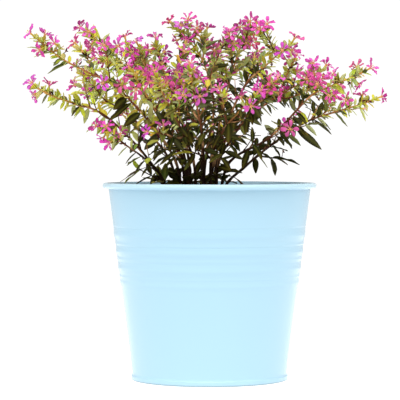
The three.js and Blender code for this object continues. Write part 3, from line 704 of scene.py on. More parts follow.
def add_leaf(skin, leaf, youth_and_shade, tints=None):
    """A fine leaf over one of the frame's leaves, or one of its own, with its own upper and lower colours."""
    side = unit(cross(leaf.direction, leaf.face))
    spine = np.array([leaf_point(leaf, along) for along in LEAF_SHARES])
    age_and_shade = leaf_age_and_shade(leaf.foot, youth_and_shade)
    yellow = age_and_shade < 0.5 and rng.random() < YELLOW_CHANCE
    over, under = tints or leaf_tints(age_and_shade, yellow)
    tip = mix(over, YELLOW_LEAF, TIP_YELLOW)
    shares = LEAF_SHARES[:, None]
    overs = mix(mix(over * FOOT_BRIGHTNESS, over, np.minimum(1, shares * 2)), tip, shares ** 3)
    unders = np.broadcast_to(under, overs.shape)
    half = leaf.half_width * leaf.length
    rib = mix(under, YOUNG_GREEN, RIB_PALENESS)
    curl = leaf.length * LEAF_CURL * rng.normal(0, 1, (len(LEAF_SHARES), 1)) * np.abs(BLADE_ACROSS)
    widths = LEAF_WIDTHS * half
    blade(skin, spine, side, widths, near(*LEAF_FOLD), LEAF_THICKNESS, overs, unders, rib, LEAF, curl)


def place_leaf(skin, owner, leaf, tints):
    """A leaf whose place is given, whatever room there is."""
    space.take(owner, leaf_balls(leaf), leaf.length * leaf.half_width)
    add_leaf(skin, leaf, 0, tints)


def arched(foot, tip, arch):
    """The direction, length and droop of a leaf that leaves its foot upwards and sags to its tip."""
    reach = np.array(tip, float) - foot
    length = length_of(reach)
    reach = reach + UP * (arch * length)
    risen = length_of(reach)
    return reach / risen, risen, arch * length / risen


def leaf_size(point):
    """Leaves grow shorter from the plant's foot to its top."""
    height = smoothstep(point[2], LOW_LEAVES["height"], HIGH_LEAVES["height"])
    return mix(LOW_LEAVES["length"], HIGH_LEAVES["length"], height)


def grow_leaf(skin, owner, route, distance, angle, keys):
    """Repeats a leaf of the frame, turned about its stem until it is clear of what has grown before."""
    point, tangent = route.at(distance)
    forward = tangent * between(LEAF_FORWARD, *keys, DRAWS["leaf_forward"])
    length = leaf_size(point) * between(LEAF_LENGTH_SPREAD, *keys, DRAWS["leaf_length"])
    droop = between(LEAF_DROOP, *keys, DRAWS["leaf_droop"])
    radius = length * LEAF_HALF_WIDTH
    for turn in TURNS:
        direction = unit(forward + around_axis(tangent, angle + turn))
        leaf = Leaf(point, direction, leaf_face(direction, tangent), length, droop, LEAF_HALF_WIDTH)
        balls = leaf_balls(leaf)
        if space.room(owner, balls, radius) > CLEARANCE:
            space.take(owner, balls, radius)
            add_leaf(skin, leaf, 0)
            return


def grow_pair(skin, owner, route, distance, index, key):
    """Repeats two opposite leaves of the frame."""
    angle = (0.5 if index % 2 else 0) * math.pi + PAIR_WANDER * draw(owner, key, index)
    grow_leaf(skin, owner, route, distance, angle + 0.5 * math.pi, [owner, key, index, DRAWS["left_leaf"]])
    grow_leaf(skin, owner, route, distance, angle - 0.5 * math.pi, [owner, key, index, DRAWS["right_leaf"]])


def grow_old_leaf(skin, owner, route, old):
    """Repeats one of the frame's long leaves that hang to the rim."""
    foot, tangent = route.at(old["from"])
    direction, length, droop = arched(foot, old["tip"], old["arch"])
    leaf = Leaf(foot, direction, leaf_face(direction, tangent), length, droop, old["half_width"])
    place_leaf(skin, owner, leaf, LEAF_TONES["dry"] if old["dry"] else None)


# Wood is slimmer than the frame's, its colour changes with height and towards its young end, and high in the
# plant it has tan patches of painted highlight.
WOOD_SLIMNESS = 0.72
WOOD_STEP = 5.0
KNOT, BETWEEN_KNOTS = 1.14, 0.97
WOOD_HEIGHTS = (140, 200)
YOUNG_WOOD_FROM = 0.7
YOUNG_WOOD_HEIGHTS = (160, 200)
HIGHLIGHT_CHANCE = 0.15
HIGHLIGHT_FROM = 145.0
HIGHLIGHT_SHARE = 0.7
WOOD_TINT_SPREAD = 0.12
STEM_SIDES, SHOOT_SIDES, TWIG_SIDES, THIN_SIDES = 9, 7, 6, 5


def wood_tint(point, share):
    """Wood is dark low in the plant, brown above, and paler towards its young end, with tan patches of
    painted highlight high up.
    """
    low = mix(WOOD_LOW, WOOD_HIGH, smoothstep(point[2], *WOOD_HEIGHTS))
    young = smoothstep(share, YOUNG_WOOD_FROM, 1.0) * smoothstep(point[2], *YOUNG_WOOD_HEIGHTS)
    tint = mix(low, WOOD_TIP, young)
    if point[2] > HIGHLIGHT_FROM and rng.random() < HIGHLIGHT_CHANCE:
        tint = mix(tint, WOOD_HIGHLIGHT, HIGHLIGHT_SHARE)
    return np.clip(tint * near(1, WOOD_TINT_SPREAD), 0.003, 0.9)


def add_wood(skin, route, start_radius, end_radius, sides, straight=0.0, step=WOOD_STEP):
    """A stem, shoot or twig with small knots where leaves have stood. Its start can be straight."""
    count = max(2, round((route.length - straight) / step))
    stations = [straight + (route.length - straight) * i / count for i in range(count + 1)]
    if straight:
        stations.insert(0, 0.0)
    points = []
    radii = []
    tints = []
    for i, distance in enumerate(stations):
        point, _ = route.at(distance)
        share = max(0.0, distance - straight) / (route.length - straight)
        knot = KNOT if i % 3 == 1 else BETWEEN_KNOTS
        points.append(point)
        radii.append(WOOD_SLIMNESS * mix(start_radius, end_radius, share) * knot)
        tints.append(wood_tint(point, share))
    rod(skin, points, radii, tints, sides)


# Flowers
PETAL_SHARES = np.array([0.0, 0.2, 0.42, 0.62, 0.8, 0.93, 1.0])
PETAL_HALF_WIDTHS = np.array([0.0, 0.52, 0.98, 1.22, 1.13, 0.73, 0.0])
PETAL_THICKNESS = 0.16
PETAL_TINT_SPREAD = np.array([0.06, 0.18, 0.12])
PETAL_DEPTH = 0.55
THROAT_FADE = 3.2

# A petal: the radius and share of the calyx where it starts, the height and bend of its arch, its size
# with its spread, how it strays in lift, curl, yaw and twist, and its crinkles.
PETAL_START = (0.7, 0.96)
PETAL_ARCH = (1.5, 1.9)
PETAL_SIZE = (1.01, 0.08)
PETAL_TURN_SPREAD = 0.09
PETAL_SPREADS = (0.9, 0.9, 0.1, 0.4)
PETAL_CRINKLE = 0.5
PETAL_UNEVEN = 0.1
Flower = namedtuple("Flower", "foot direction turn")

# A calyx tube, as its radius at each height above its foot.
CALYX_PROFILE = [(-0.4, 0.3), (0.5, 0.6), (2.0, 0.75), (4.2, 0.62), (5.6, 0.8), (6.5, 1.1), (6.6, 0)]

# Small leaves around a calyx, and stamens: the radius and height of the points that each passes.
BRACTS = 3
BRACT_LENGTH = (5.0, 8.0)
BRACT_HALF_WIDTH = (0.18, 0.24)
BRACT_FORWARD = (0.5, 1.1)
BRACT_OUTWARD = 0.6
BRACT_DROOP = 0.1
STAMENS = 3
STAMEN_POINTS = [(0.3, 6.2), (0.8, 7.6), (1.3, 8.6)]
STAMEN_RADII = [0.13, 0.13, 0.24]
STAMEN_TURN = 0.13
STAMEN_TURN_SPREAD = 0.4

# A bud or withered flower: heights beside its length, and the radii there where it is BUD_LENGTH long.
BUD_LENGTH = 5
BUD_HEIGHTS = np.array([-0.05, 0.2, 0.5, 0.78, 1.0])
BUD_RADII = np.array([0.25, 0.7, 0.85, 0.6, 0.0])


def flower_frame(flower):
    """A function that turns an angle, radius and height about the flower's axis into a point."""
    side = around_axis(flower.direction, flower.turn)
    across = cross(flower.direction, side)

    def place(angle, radius, height):
        radial = side * math.cos(angle) + across * math.sin(angle)
        return flower.foot + radial * radius + flower.direction * height

    return place


def flower_balls(flower):
    place = flower_frame(flower)
    balls = [place(0, 0, CALYX_LENGTH * share) for share in CALYX_BALLS]
    for i in range(PETALS):
        angle = 2 * math.pi * i / PETALS
        out = PETAL_REACH * PETAL_BALL["out"]
        balls.append(place(angle, out, CALYX_LENGTH + PETAL_CUP * PETAL_BALL["up"]))
    return balls


def add_petal(skin, place, angle, scale, tint):
    """A petal that widens from a narrow foot, bent, twisted and crinkled by chance."""
    reach = PETAL_REACH * scale
    lift, curl, yaw, twist = rng.normal(0, 1, 4) * PETAL_SPREADS
    spine = []
    for share in PETAL_SHARES:
        out = PETAL_START[0] + (reach - PETAL_START[0]) * share
        height = CALYX_LENGTH * PETAL_START[1] + PETAL_ARCH[0] * math.sin(PETAL_ARCH[1] * share)
        spine.append(place(angle + yaw * share, out, height + lift * share + curl * share ** 3))
    spine = np.array(spine)
    side = unit(place(angle - 0.5 * math.pi, 1, 0) - place(0, 0, 0))
    side = unit(side + twist * unit(place(0, 0, 1) - place(0, 0, 0)))
    crinkle = PETAL_CRINKLE * rng.normal(0, 1, (len(PETAL_SHARES), 8)) * np.abs(BLADE_ACROSS)
    crinkle[:, 5:] = crinkle[:, [3, 2, 1]]
    shares = PETAL_SHARES[:, None]
    over = mix(THROAT, tint, np.minimum(1, shares * THROAT_FADE))
    over = over * (1 + PETAL_UNEVEN * rng.normal(0, 1, (len(PETAL_SHARES), 1)))
    widths = PETAL_HALF_WIDTHS * scale * (1 + PETAL_UNEVEN * rng.normal(0, 1, len(PETAL_SHARES)))
    under = mix(over, DEEP_MAGENTA, 0.2)
    over, under = np.clip(over, 0, 0.96), np.clip(under, 0, 0.96)
    blade(skin, spine, side, widths, 0.2, PETAL_THICKNESS, over, under, tint * 0.8, PETAL, crinkle)


def add_bracts(skin, flower, place):
    """Small bright leaves that stand around a flower's calyx."""
    foot = flower.foot - flower.direction * 0.5
    for i in range(BRACTS):
        angle = 2 * math.pi * (i + rng.random()) / BRACTS
        radial = unit(place(angle, 1, 0) - place(0, 0, 0))
        direction = unit(flower.direction * rng.uniform(*BRACT_FORWARD) + radial * BRACT_OUTWARD)
        face = square_to(flower.direction - radial * 0.8, direction)
        length = rng.uniform(*BRACT_LENGTH)
        half_width = rng.uniform(*BRACT_HALF_WIDTH)
        add_leaf(skin, Leaf(foot, direction, face, length, BRACT_DROOP, half_width), 1.0)


def add_flower(skin, flower):
    """A calyx tube with small leaves around it, six crinkled petals, and stamens."""
    place = flower_frame(flower)
    add_bracts(skin, flower, place)
    points = [place(0, 0, height) for height, _ in CALYX_PROFILE]
    radii = [radius for _, radius in CALYX_PROFILE]
    tints = [mix(CALYX_GREEN, CALYX_FLUSH, smoothstep(height, 3, 6.4)) for height, _ in CALYX_PROFILE]
    rod(skin, points, radii, tints, 7, LEAF)
    tint = mix(MAGENTA, DEEP_MAGENTA, rng.random() * PETAL_DEPTH)
    tint = tint * (1 + rng.normal(0, 1, 3) * PETAL_TINT_SPREAD)
    for i in range(PETALS):
        angle = near(2 * math.pi * i / PETALS, PETAL_TURN_SPREAD)
        add_petal(skin, place, angle, near(*PETAL_SIZE), tint)
    for i in range(STAMENS):
        angle = near(2 * math.pi * (i / STAMENS + STAMEN_TURN), STAMEN_TURN_SPREAD)
        points = [place(angle, radius, height) for radius, height in STAMEN_POINTS]
        rod(skin, points, STAMEN_RADII, [THROAT, THROAT, CALYX_GREEN], 4, PETAL)


def add_bud(skin, foot, direction, length, closed):
    """A bud on its calyx, or a withered flower where closed is below 0."""
    points = [foot + direction * (length * height) for height in BUD_HEIGHTS]
    if closed >= 0:
        tints = [mix(CALYX_GREEN, MAGENTA, closed * smoothstep(height, 0.4, 0.9)) for height in BUD_HEIGHTS]
    else:
        tints = [mix(CALYX_FLUSH * 0.6, WITHERED, smoothstep(height, 0, 0.3)) for height in BUD_HEIGHTS]
    rod(skin, points, list(BUD_RADII * length / BUD_LENGTH), tints, 6, LEAF if closed >= 0 else BARK)


def roomiest_flower(owner, point, tangent, tilt, first, turn):
    """Repeats a flower of the frame, turned about its shoot to where it has most room."""
    tries = []
    for step in TURNS:
        direction = tangent * math.cos(tilt) + around_axis(tangent, first + step) * math.sin(tilt)
        flower = Flower(point, unit(direction + UP * FLOWER_RISE), turn)
        tries.append((flower, flower_balls(flower)))
    return space.roomiest(owner, tries, PETAL_BALL["radius"], AMPLE_ROOM)[0]


# Growth that only the looks have: more leaves, twigs, buds and withered flowers. A habit says how far apart
# the leaves are, how long beside the frame's or at most, how wide for their length, and how young at the end.
STEM_LEAVES = {"step": 6.6, "scale": 0.9, "longest": 16, "half_width": (0.13, 0.2), "youth_and_shade": 0.6}
SHOOT_LEAVES = {"step": 4.4, "scale": 0.8, "longest": 14, "half_width": (0.15, 0.21), "youth_and_shade": 0.9}
TWIG_LEAVES = {"step": 4.8, "scale": 0.82, "longest": 16, "half_width": (0.14, 0.2), "youth_and_shade": 0.8}
TUFT_LEAVES = {"step": 2.0, "scale": 0.66, "longest": 11.5, "half_width": (0.17, 0.23), "youth_and_shade": 1.0}
# Base leaves have a youth below 0, which darkens them as painted shade low in the plant.
BASE_LEAVES = {"step": 8.5, "scale": 0.9, "longest": 16, "half_width": (0.14, 0.2), "youth_and_shade": -1.0}

# Along a stretch: how the steps and turns of its pairs stray, how much shorter the last leaves are, where
# youth starts, and how few pairs are low in the plant.
PAIR_STEPS = (0.8, 1.25)
PAIR_TURN_SPREAD = 0.3
END_SIZE = 0.75
END_FROM = 0.55
YOUTH_SHARES = (-0.3, 0.9)
LOW_SHARE = 0.06
THIN_HEIGHTS = (150, 202)

# Where the stretches of a stem's or shoot's leaves start and end.
TUFT_LENGTH = 15.0
BASE_FROM = 12.0
BASE_TO = 32.0
TWIG_BARE = 3
SHOOT_BARE = 4

# A leaf of these: how much it hangs when young and old, how it strays in size, direction and face, its
# balls and their room, and when it is left out.
HANG = (-0.3, 0.5)
HANG_SPREAD = 0.2
EXTRA_LENGTH = (0.75, 1.2)
EXTRA_TURN_SPREAD = 0.45
EXTRA_FORWARD = (0.35, 0.8)
EXTRA_FACE_SPREAD = 0.6
EXTRA_DROOP = (0.05, 0.25)
OLD_WIDTH = (0.95, 1.15)
EXTRA_TRIES = 3
EXTRA_BALLS = (0.5, 0.9)
EXTRA_ROOM = 1.2
LEAST_ROOM = -1.5
HANGING = -0.3
HANGING_LOSS = 0.7

# Thin leafy twigs: where they stand on a stem, how they leave it, how much shorter they grow towards its
# end, how far they stay under the plant's outside, and the chances of what is at their end.
EXTRA_TWIGS = {"from": 0.38, "margin": 5, "step": (7.5, 12.5), "length": (9, 20), "radii": (0.55, 0.35)}
EXTRA_TWIG_TRIES = 5
EXTRA_TWIG_FORWARD = (0.8, 1.3)
EXTRA_TWIG_OUTWARD = 0.7
EXTRA_TWIG_RISE = 0.12
EXTRA_TWIG_SHORTENING = (1.1, 0.7)
EXTRA_TWIG_ROOM = 2.0
DOME_MARGIN = 5.0
BUD_FROM = 165.0
BUD_CHANCE = 0.45
WITHERED_CHANCE = 0.7
SPRAY_BUDS = 3
SPRAY_WITHERED = 4

# Lengths of buds and withered flowers on a twig, around a spray, and at a pixel of the photograph.
TWIG_BUD = (3.5, 5.0)
TWIG_WITHERED = (2.5, 3.6)
SPRAY_BUD = (3.5, 5.5)
WITHERED_AT_SPRAY = (3.0, 4.4)
WITHERED_SEEN = (2.2, 3.4)
WITHERED_TOGETHER = 3
STALK_RADII = [0.3, 0.25, 0.3]

# Single flowers on short shoots: their wood, how far aside of it they stand, and where they face. At the
# rear they stand on the wood of this stretch.
SINGLE_RADII = (0.8, 0.6)
SINGLE_STEP = 4
SINGLE_ASIDE = 6
SINGLE_DROOP = 0.8
SINGLE_OUTWARD = 0.4
SINGLE_TO_EYE = 0.7
SINGLE_RISE = 0.3
SINGLE_STRAY = 0.28
REAR_DROOP = 0.5
REAR_FLOWERS = 24
REAR_TRIES = 8
REAR_SHOOT = (4, 8)
REAR_SIDEWAYS = 0.5
REAR_RISE = 0.35
REAR_STRAY = 0.35
REAR_FROM = 22.0
REAR_SIDE = 62.0
REAR_LOW = 176.0
REAR_HIGH = 218.0

# What is seen at a pixel: how much wood at the front counts before wood at the rear for a flower, a leaf
# and a withered flower, and how far in front of its wood a flower is.
FLOWER_FRONT = 0.07
LEAF_FRONT = 0.02
WITHERED_FRONT = 0.05
SIGHT_LIFT = 3

# How far behind its foot the tip of a leaf that is seen can be. Below 0 it is in front.
TIP_DEPTHS = (-4, 1)

# The first of a stem's route samples that can bear a seen leaf or flower.
FIRST_BEARING = 14


def random_around(tangent):
    return around_axis(tangent, rng.uniform(0, 2 * math.pi))


def extra_leaf(skin, owner, route, distance, angle, size, youth_and_shade, half_width):
    """A leaf of its own, in the roomiest of a few directions. Old leaves hang and young ones rise."""
    point, tangent = route.at(distance)
    age_and_shade = leaf_age_and_shade(point, youth_and_shade)
    hang = near(mix(*HANG, age_and_shade), HANG_SPREAD)
    length = size * rng.uniform(*EXTRA_LENGTH)
    tries = []
    for _ in range(EXTRA_TRIES):
        lean = around_axis(tangent, near(angle, EXTRA_TURN_SPREAD))
        forward = rng.uniform(*EXTRA_FORWARD) + EXTRA_FORWARD[0] * min(0.0, lean[2])
        direction = unit(tangent * forward + lean - UP * hang)
        face = square_to(tangent * 0.4 + UP * 0.9 + EXTRA_FACE_SPREAD * rng.normal(0, 1, 3), direction)
        droop = EXTRA_DROOP[0] + EXTRA_DROOP[1] * rng.random()
        width = rng.uniform(*half_width) * mix(*OLD_WIDTH, age_and_shade)
        leaf = Leaf(point, direction, face, length, droop, width)
        tries.append((leaf, [leaf_point(leaf, along) for along in EXTRA_BALLS]))
    leaf, balls, room = space.roomiest(owner, tries, EXTRA_ROOM)
    hidden_side = leaf.direction[2] < HANGING and rng.random() < HANGING_LOSS * youth_and_shade
    if room < LEAST_ROOM or hidden_side:
        return
    space.take(owner, balls, EXTRA_ROOM)
    add_leaf(skin, leaf, youth_and_shade)


def dress(skin, owner, route, start, end, habit):
    """Opposite leaves along a stretch, each pair turned a quarter from the last, fewer low in the plant."""
    angle = rng.uniform(0, 2 * math.pi)
    distance = start + habit["step"] * rng.uniform(0.2, 0.8)
    while distance < end:
        point, _ = route.at(distance)
        share = (distance - start) / (end - start)
        size = min(leaf_size(point), habit["longest"])
        size = size * habit["scale"] * mix(1.0, END_SIZE, smoothstep(share, END_FROM, 1.0))
        youth_and_shade = habit["youth_and_shade"] * smoothstep(share, *YOUTH_SHARES)
        kept = mix(LOW_SHARE, 1, smoothstep(point[2], *THIN_HEIGHTS)) if habit["youth_and_shade"] > 0 else 1
        for side in (0, math.pi):
            if rng.random() < kept:
                extra_leaf(skin, owner, route, distance, angle + side, size, youth_and_shade, habit["half_width"])
        angle += near(0.5 * math.pi, PAIR_TURN_SPREAD)
        distance += habit["step"] * rng.uniform(*PAIR_STEPS)


def extra_twig(skin, owner, host, distance, length):
    """A thin leafy side twig, with a bud, a withered flower or nothing at its end."""
    point, tangent = host.at(distance)
    tries = []
    for _ in range(EXTRA_TWIG_TRIES):
        forward = tangent * rng.uniform(*EXTRA_TWIG_FORWARD)
        outward = random_around(tangent) * EXTRA_TWIG_OUTWARD
        direction = unit(forward + outward + UP * EXTRA_TWIG_RISE)
        end = point + direction * length + UP * (EXTRA_TWIG_RISE * length)
        places = [point + direction * (0.5 * length), end]
        tries.append((places, places))
    places = space.roomiest(owner, tries, EXTRA_TWIG_ROOM)[0]
    if places[1][2] > dome_top(places[1]) - DOME_MARGIN:
        return
    twig = Route([point, *places])
    add_wood(skin, twig, *EXTRA_TWIGS["radii"], THIN_SIDES)
    space.take_along(owner, twig, TWIG_BARE, twig.length, 0.5)
    dress(skin, owner, twig, TWIG_BARE, twig.length + 0.5, TWIG_LEAVES)
    end, tangent = twig.at(twig.length)
    chance = rng.random()
    if end[2] > BUD_FROM and chance < BUD_CHANCE:
        add_bud(skin, end, strayed(tangent, 0.4), rng.uniform(*TWIG_BUD), rng.random())
    elif chance < WITHERED_CHANCE:
        add_bud(skin, end, strayed(tangent, 0.6), rng.uniform(*TWIG_WITHERED), -1)


# Materials
GRAIN_SCALE = 700
GRAIN = (0.75, 1.25)
SOIL_GRAIN_SCALE = 190
SOIL_DARK = (0.38, srgb(30, 21, 15))
SOIL_LIGHT = (0.62, srgb(112, 84, 60))

# Roughness, specular level and the share of light that passes through.
PLANT_LOOKS = {"leaf": (0.5, 0.08, 0.42), "bark": (0.75, 0.08, 0), "petal": (0.6, 0.15, 0.35)}

# Colour and specular level of each paint, in the order of paint_kind.
PAINT_LOOKS = {
    "pale_blue_paint": (WALL_PAINT, 0.14),
    # The rim's paler paint is a painted highlight; its higher specular level is its gloss.
    "highlighted_rim_paint": (HIGHLIGHT_RIM_PAINT, 0.4),
    # The darker paint on the foot's lower edge is a painted contact shadow.
    "painted_contact_shadow": (CONTACT_SHADOW_PAINT, 0.14),
}
PAINT_GLOSS = {"Roughness": 0.25, "Sheen Weight": 0.2, "Sheen Roughness": 0.5}


def set_values(node, values):
    for socket, value in values.items():
        node.inputs[socket].default_value = value


def add_node(tree, kind, values):
    node = tree.nodes.new(kind)
    set_values(node, values)
    return node


def new_material(name, values):
    """A material with these values on its shader, its node tree and that shader."""
    material = bpy.data.materials.new(name)
    material.use_nodes = True
    shader = material.node_tree.nodes["Principled BSDF"]
    set_values(shader, values)
    return material, material.node_tree, shader


def plant_material(name, roughness, specular, see_through):
    """Coloured by the points' own colour, and lit through as a thin leaf or petal is."""
    material, tree, shader = new_material(name, {"Roughness": roughness, "Specular IOR Level": specular})
    tint = tree.nodes.new("ShaderNodeVertexColor")
    tint.layer_name = "tint"
    noise = add_node(tree, "ShaderNodeTexNoise", {"Scale": GRAIN_SCALE, "Detail": 2})
    shade = add_node(tree, "ShaderNodeMapRange", {"To Min": GRAIN[0], "To Max": GRAIN[1]})
    tree.links.new(noise.outputs["Fac"], shade.inputs["Value"])
    colour = tree.nodes.new("ShaderNodeVectorMath")
    colour.operation = "SCALE"
    tree.links.new(tint.outputs["Color"], colour.inputs[0])
    tree.links.new(shade.outputs["Result"], colour.inputs["Scale"])
    tree.links.new(colour.outputs["Vector"], shader.inputs["Base Color"])
    if see_through:
        through = tree.nodes.new("ShaderNodeBsdfTranslucent")
        tree.links.new(colour.outputs["Vector"], through.inputs["Color"])
        both = add_node(tree, "ShaderNodeMixShader", {"Fac": see_through})
        output = tree.nodes["Material Output"]
        tree.links.new(shader.outputs["BSDF"], both.inputs[1])
        tree.links.new(through.outputs["BSDF"], both.inputs[2])
        tree.links.new(both.outputs["Shader"], output.inputs["Surface"])
    return material


def paint_material(name, colour, specular):
    look = {"Base Color": (*colour, 1), "Specular IOR Level": specular}
    return new_material(name, {**look, **PAINT_GLOSS})[0]


def soil_material():
    material, tree, shader = new_material("potting_soil", {"Roughness": 0.95})
    noise = add_node(tree, "ShaderNodeTexNoise", {"Scale": SOIL_GRAIN_SCALE, "Detail": 6})
    ramp = tree.nodes.new("ShaderNodeValToRGB")
    for element, (position, colour) in zip(ramp.color_ramp.elements, (SOIL_DARK, SOIL_LIGHT)):
        element.position = position
        element.color = (*colour, 1)
    tree.links.new(noise.outputs["Fac"], ramp.inputs["Fac"])
    tree.links.new(ramp.outputs["Color"], shader.inputs["Base Color"])
    return material


# Pot
def taper_radius(height):
    share = (height - FOOT_BAND_HEIGHT) / (TAPER_TOP_HEIGHT - FOOT_BAND_HEIGHT)
    return mix(TAPER_LOW_RADIUS, TAPER_TOP_RADIUS, share)


def swell(height, low, high):
    """A round swell between two heights, from 0 at both to 1 at its middle."""
    if not low < height < high:
        return 0.0
    return math.sin(math.pi * (height - low) / (high - low)) ** 2


def rib_relief(height):
    """How far the pressed ribs stand out of the taper, or their grooves in from it, at a height."""
    relief = 0.0
    for rib in RIBS:
        relief += rib["rise"] * RIB_SHARE * swell(height, rib["bottom"], rib["top"])
        relief -= rib["rise"] * GROOVE_SHARE * swell(height, rib["top"], rib["top"] + GROOVE_WIDTH)
        if rib["bead"]:
            relief += BEAD_RISE * swell(height, rib["bead"] - BEAD_REACH, rib["bead"] + BEAD_REACH)
    return relief


def arc(centre, radius, start, end, count):
    """Points of an arc in the pot's section, as (radius, height), with its angles in degrees."""
    angles = np.radians(np.linspace(start, end, count))
    return [(centre[0] + radius * math.cos(a), centre[1] + radius * math.sin(a)) for a in angles]


def pot_profile():
    """The wall's section from the hem's inner edge, up the outside, over the rim and down the inside."""
    section = [(HEM_INNER_RADIUS, 0.0)]
    section += arc((FOOT_RADIUS - FOOT_ROUNDING, FOOT_ROUNDING), FOOT_ROUNDING, -90, 0, 5)
    section += arc((FOOT_RADIUS - BAND_ROUNDING, FOOT_BAND_HEIGHT - BAND_FALL), BAND_ROUNDING, 0, 70, 5)
    section += [(TAPER_LOW_RADIUS + out, FOOT_BAND_HEIGHT + up) for out, up in BAND_JOINTS]
    heights = list(np.linspace(FOOT_BAND_HEIGHT + PLAIN_FROM, RIBBED["from"] - 1, 12))
    heights += list(np.arange(RIBBED["from"], RIBBED["to"], RIBBED["step"]))
    heights += list(np.linspace(RIBBED["to"] + 1, TAPER_TOP_HEIGHT, 6))
    section += [(taper_radius(height) + rib_relief(height), height) for height in heights]
    section += [(TAPER_TOP_RADIUS + RIM_JOINT[0], TAPER_TOP_HEIGHT + RIM_JOINT[1])]
    section += arc((RIM_RADIUS - RIM_ROLL, POT_HEIGHT - RIM_ROLL), RIM_ROLL, -150, 115, 16)
    section += [(TAPER_TOP_RADIUS + INNER_JOINT[0], TAPER_TOP_HEIGHT + INNER_JOINT[1])]
    section += [(taper_radius(height) - WALL_THICKNESS, height) for height in INSIDE_HEIGHTS]
    section += [(HEM_INNER_RADIUS, HEM_HEIGHT)]
    return section


def paint_kind(height, next_height):
    """Which paint a strip of the wall has: 1 on the rolled rim, with its painted highlight, 2 on the foot's
    lower edge, with its painted contact shadow, 0 elsewhere.
    """
    if min(height, next_height) > TAPER_TOP_HEIGHT + HIGHLIGHT_RIM_RISE:
        return 1
    return 2 if max(height, next_height) < CONTACT_SHADOW_HEIGHT else 0


def revolved(name, section, sides, paints):
    """Turns the pot's closed section, given as (radius, height), about its axis."""
    points = []
    for angle in even_turns(sides):
        points += [(r * math.cos(angle), r * math.sin(angle), z) for r, z in section]
    count = len(section)
    faces = []
    kinds = []
    for s in range(sides):
        here, there = s * count, (s + 1) % sides * count
        for i in range(count):
            j = (i + 1) % count
            faces.append((here + i, there + i, there + j, here + j))
            kinds.append(paint_kind(section[i][1], section[j][1]))
    return mesh_piece(name, np.array(points), faces, paints, kinds)


def soil_level(share):
    """The soil's height at this share of the way from its middle to its edge."""
    return SOIL_TOP + SOIL_CROWN * (1 - share)


def soil_piece(material):
    """Lumpy soil in the pot: a closed body with a rough top and crumbs lying on it."""
    skin = Skin()
    inset = -WALL_THICKNESS - SEAT_GAP
    around = circle(even_turns(SOIL_SIDES))
    rings = []
    for height in SOIL_WALL_HEIGHTS:
        rings.append(around * (taper_radius(height) + inset) + UP * height)
    edge = taper_radius(SOIL_TOP) + inset
    for share in np.linspace(1, 0.03, SOIL_RINGS):
        calm = min(1, (1 - share) * SOIL_CALM_EDGE)
        bumps = SOIL_BUMP * rng.normal(0, 1, (SOIL_SIDES, 1)) * calm
        wander = SOIL_WANDER * rng.normal(0, 1, (SOIL_SIDES, 2)) * calm * share
        ring = around * (edge * share) + UP * soil_level(share) + UP * bumps
        ring[:, :2] += wander
        rings.append(ring)
    rings.append((UP * soil_level(0))[None, :])
    skin.add(rings, [np.zeros(3)] * len(rings), 0)
    for _ in range(CRUMBS):
        add_crumb(skin, edge)
    return skin.build("soil_surface", [material])


def add_crumb(skin, edge):
    angle = rng.uniform(0, 2 * math.pi)
    out = (edge - CRUMB_MARGIN) * math.sqrt(rng.random())
    size = CRUMB_SIZE[0] + CRUMB_SIZE[1] * rng.random() ** 2
    place = np.array([out * math.cos(angle), out * math.sin(angle), soil_level(out / edge) + 0.3 * size])
    corners = size * (1 + 0.25 * rng.normal(0, 1, (2, CRUMB_CORNERS, 1)))
    ring = circle(even_turns(CRUMB_CORNERS) + rng.uniform(0, 6))
    rings = [(place - UP * size)[None, :], place + ring * corners[0] - UP * 0.4 * size,
             place + ring * corners[1] * 0.9 + UP * 0.4 * size, (place + UP * size)[None, :]]
    skin.add(rings, [np.zeros(3)] * 4, 0)


# Assembly of the plant, in the frame's own order so that each leaf finds the same room.
def fine_shoots(routes):
    """The side shoot that bears each spray, if it has one, and the spray's own axis beyond it."""
    shoots = []
    for i, (stem, centre, _) in enumerate(SPRAYS):
        route = routes[stem - 1]
        middle = np.array(centre, float)
        tip = route.points[-1]
        at_tip = i == 0 or SPRAYS[i - 1][0] != stem
        fork = tip if at_tip else shoot_route(route, middle).points[0]
        heading = unit(middle - fork)
        base = tip if at_tip else middle - heading * SPRAY_AXIS_LENGTH
        start = base + heading * SEAT_GAP
        axis = Route([start, (start + middle) / 2, middle])
        shoots.append((None if at_tip else shoot_route(route, base), axis))
    return shoots


def shoot_route(stem, end):
    nearest = stem.nearest_distance(end)
    reach = length_of(stem.at(nearest)[0] - end)
    start = stem.at(max(LOWEST_FORK, nearest - reach))[0]
    middle = (start + end) / 2 - UP * (SHOOT_BOW * length_of(start - end))
    return Route([start, middle, end])


def stem_route(root, points):
    return Route([(*root, SOIL_TOP - STEM_DEPTH), (*root, SOIL_TOP + STEM_STRAIGHT), *points])


def twig_route(owner, stem, distance, first, length):
    point, tangent = stem.at(distance)
    for turn in TURNS:
        direction = tangent * TWIG_FORWARD + around_axis(tangent, first + turn) * TWIG_OUTWARD
        end = point + unit(direction) * length + UP * (TWIG_RISE * length)
        twig = Route([point, (point + end) / 2, end])
        balls = [twig.at(share * twig.length)[0] for share in TWIG_BALLS]
        if space.room(owner, balls, TWIG_ROOM) > CLEARANCE:
            return twig
    return None


